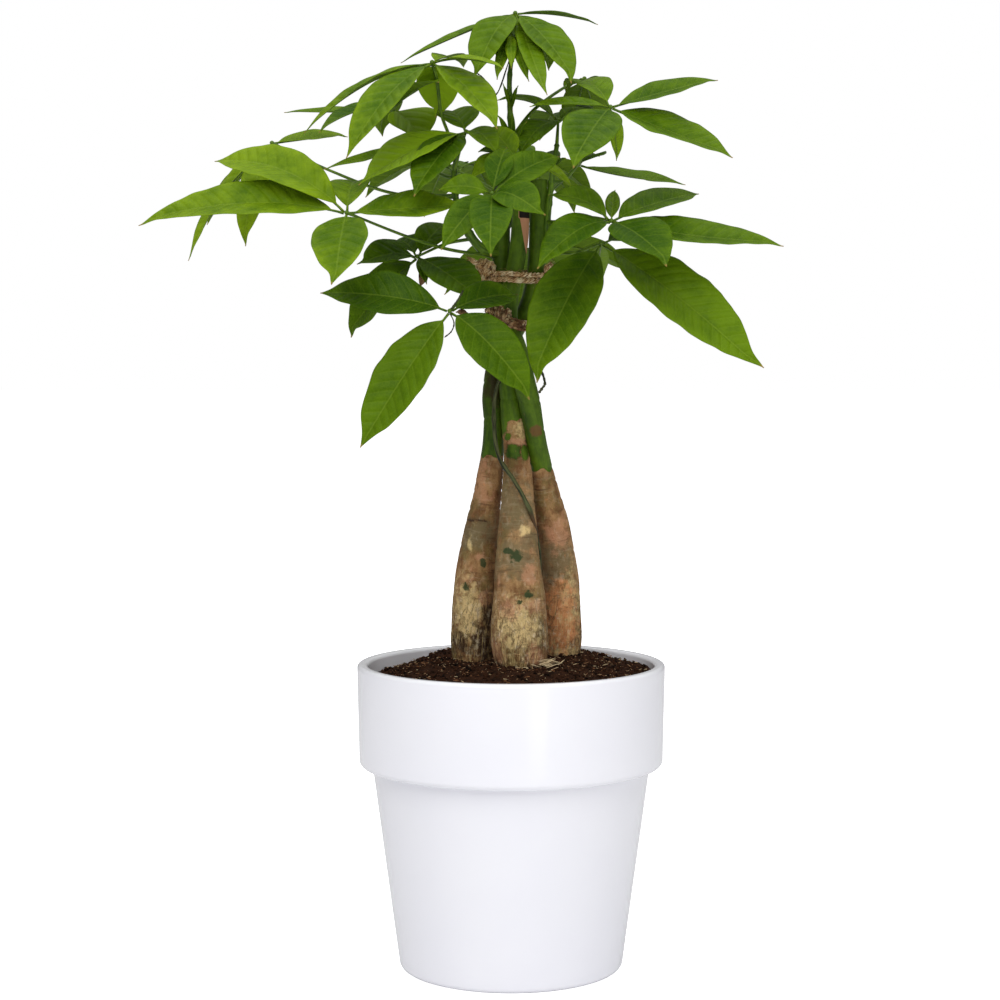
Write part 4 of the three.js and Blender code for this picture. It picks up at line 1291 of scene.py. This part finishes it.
scraps = {
    "twigs": [  # points and radius
        ([[-36, -58, 405], [-33, -60, 409], [-30, -62, 413], [-28, -62, 417]], 0.55),
        ([[-36, -58, 404], [-33.5, -60, 398], [-35, -61, 393], [-39, -62, 389.5]], 0.4),
        ([[13, -7.5, 371], [18.2, -8, 369.3], [20.6, -10, 362], [19, -10.5, 359], [17, -10, 356]], 0.8),
        ([[-1, 0, 558], [-9, -12, 536], [-16, -20, 544], [-20.4, -25, 547.2]], 0.45),
    ],
    "curls": [  # from, leaflet
        ([-54, -5, 437], [-55.5, -10, 420, 7, 3]), ([-34, -56, 404.5], [-25.5, -54, 403.8, 3.6, 1]),
    ],
    "steps": 24, "sides": 8, "rough": 0.3, "face": (0.5, -0.8, 0.2), "seed": 9, "gloss": (0.8, 0.2),
    "streaks": (1, 420.0, 4.0, 0.65, 0.36, 0.64), "relief": (0.0006, 0.8), "light": srgb(138, 104, 74),
    "dark": srgb(70, 46, 30),
}


def makeScraps():
    chance = random.Random(scraps["seed"])
    bm = bmesh.new()
    layers = bladeLayers(bm)
    for route, radius in scraps["twigs"]:
        points = [curvePoint(route, i / scraps["steps"]) * mm for i in range(scraps["steps"] + 1)]
        radii = [radius * mm * (1 + scraps["rough"] * chance.uniform(-1, 1)) for _ in points]
        addRod(bm, points, radii, scraps["sides"], 1)
    for start, leaflet in scraps["curls"]:
        layLeaflet(bm, layers, Vector(start), leaflet, Vector(scraps["face"]), 1.0, chance)
    for face in bm.faces:
        face.material_index %= 2
    finishPiece("driedScraps", bm, [streakMaterial("driedLeaf", scraps, "Object"), dried], "dried_stem")


makeScraps()
print("dried scraps hung")


# Floor and light

studio = {
    "floorSize": 40, "floorTone": srgb(238, 238, 240), "floorLift": 0.9,
    "surround": 0.3, "backdrop": 1.0,
    "lamps": {  # place, aimed at, size, power
        "softAbove": ((0, -0.2, 2.5), (0, 0, 0.3), (3.6, 3.6), 46),
        "softFront": ((-0.5, -1.9, 2.0), (0, 0, 0.3), (1.8, 1.8), 29),
        "softRight": ((1.4, -1.5, 1.2), (0, 0, 0.3), (1, 1), 5),
        "lowStrip": ((0.21, -0.62, 0.25), (0.02, -0.09, 0.16), (0.16, 0.5), 0.22),
    },
}


def makeFloor():
    material, tree, shader = newMaterial("paleFloor", 0.9, 0.1)
    shader["Base Color"].default_value = studio["floorTone"]
    shader["Emission Color"].default_value = (1, 1, 1, 1)
    direct = addNode(tree, "ShaderNodeLightPath", {}, "Is Camera Ray")
    feed(shader["Emission Strength"], direct * studio["floorLift"])
    bm = bmesh.new()
    bmesh.ops.create_grid(bm, x_segments=8, y_segments=8, size=studio["floorSize"] / 2)
    floor = meshObject("paleFloor", bm, [material])


def makeSurround():
    world = bpy.data.worlds.new("whiteStudio")
    bpy.context.scene.world = world
    world.use_nodes = True
    direct = addNode(world.node_tree, "ShaderNodeLightPath", {}, "Is Camera Ray")
    background = world.node_tree.nodes["Background"].inputs
    background["Color"].default_value = (1, 1, 1, 1)
    feed(background["Strength"], direct * (studio["backdrop"] - studio["surround"]) + studio["surround"])


def makeLamps():
    for name, (place, aim, (width, height), power) in studio["lamps"].items():
        lamp = bpy.data.lights.new(name, "AREA")
        lamp.shape = "RECTANGLE"
        lamp.size, lamp.size_y = width, height
        lamp.energy = power
        stand = newObject(name, lamp)
        stand.location = place
        stand.rotation_euler = (Vector(aim) - Vector(place)).to_track_quat("-Z", "Y").to_euler()
        stand.visible_camera = False


makeFloor()
makeSurround()
makeLamps()
bpy.context.scene.view_settings.view_transform = "Standard"
print("studio lit")
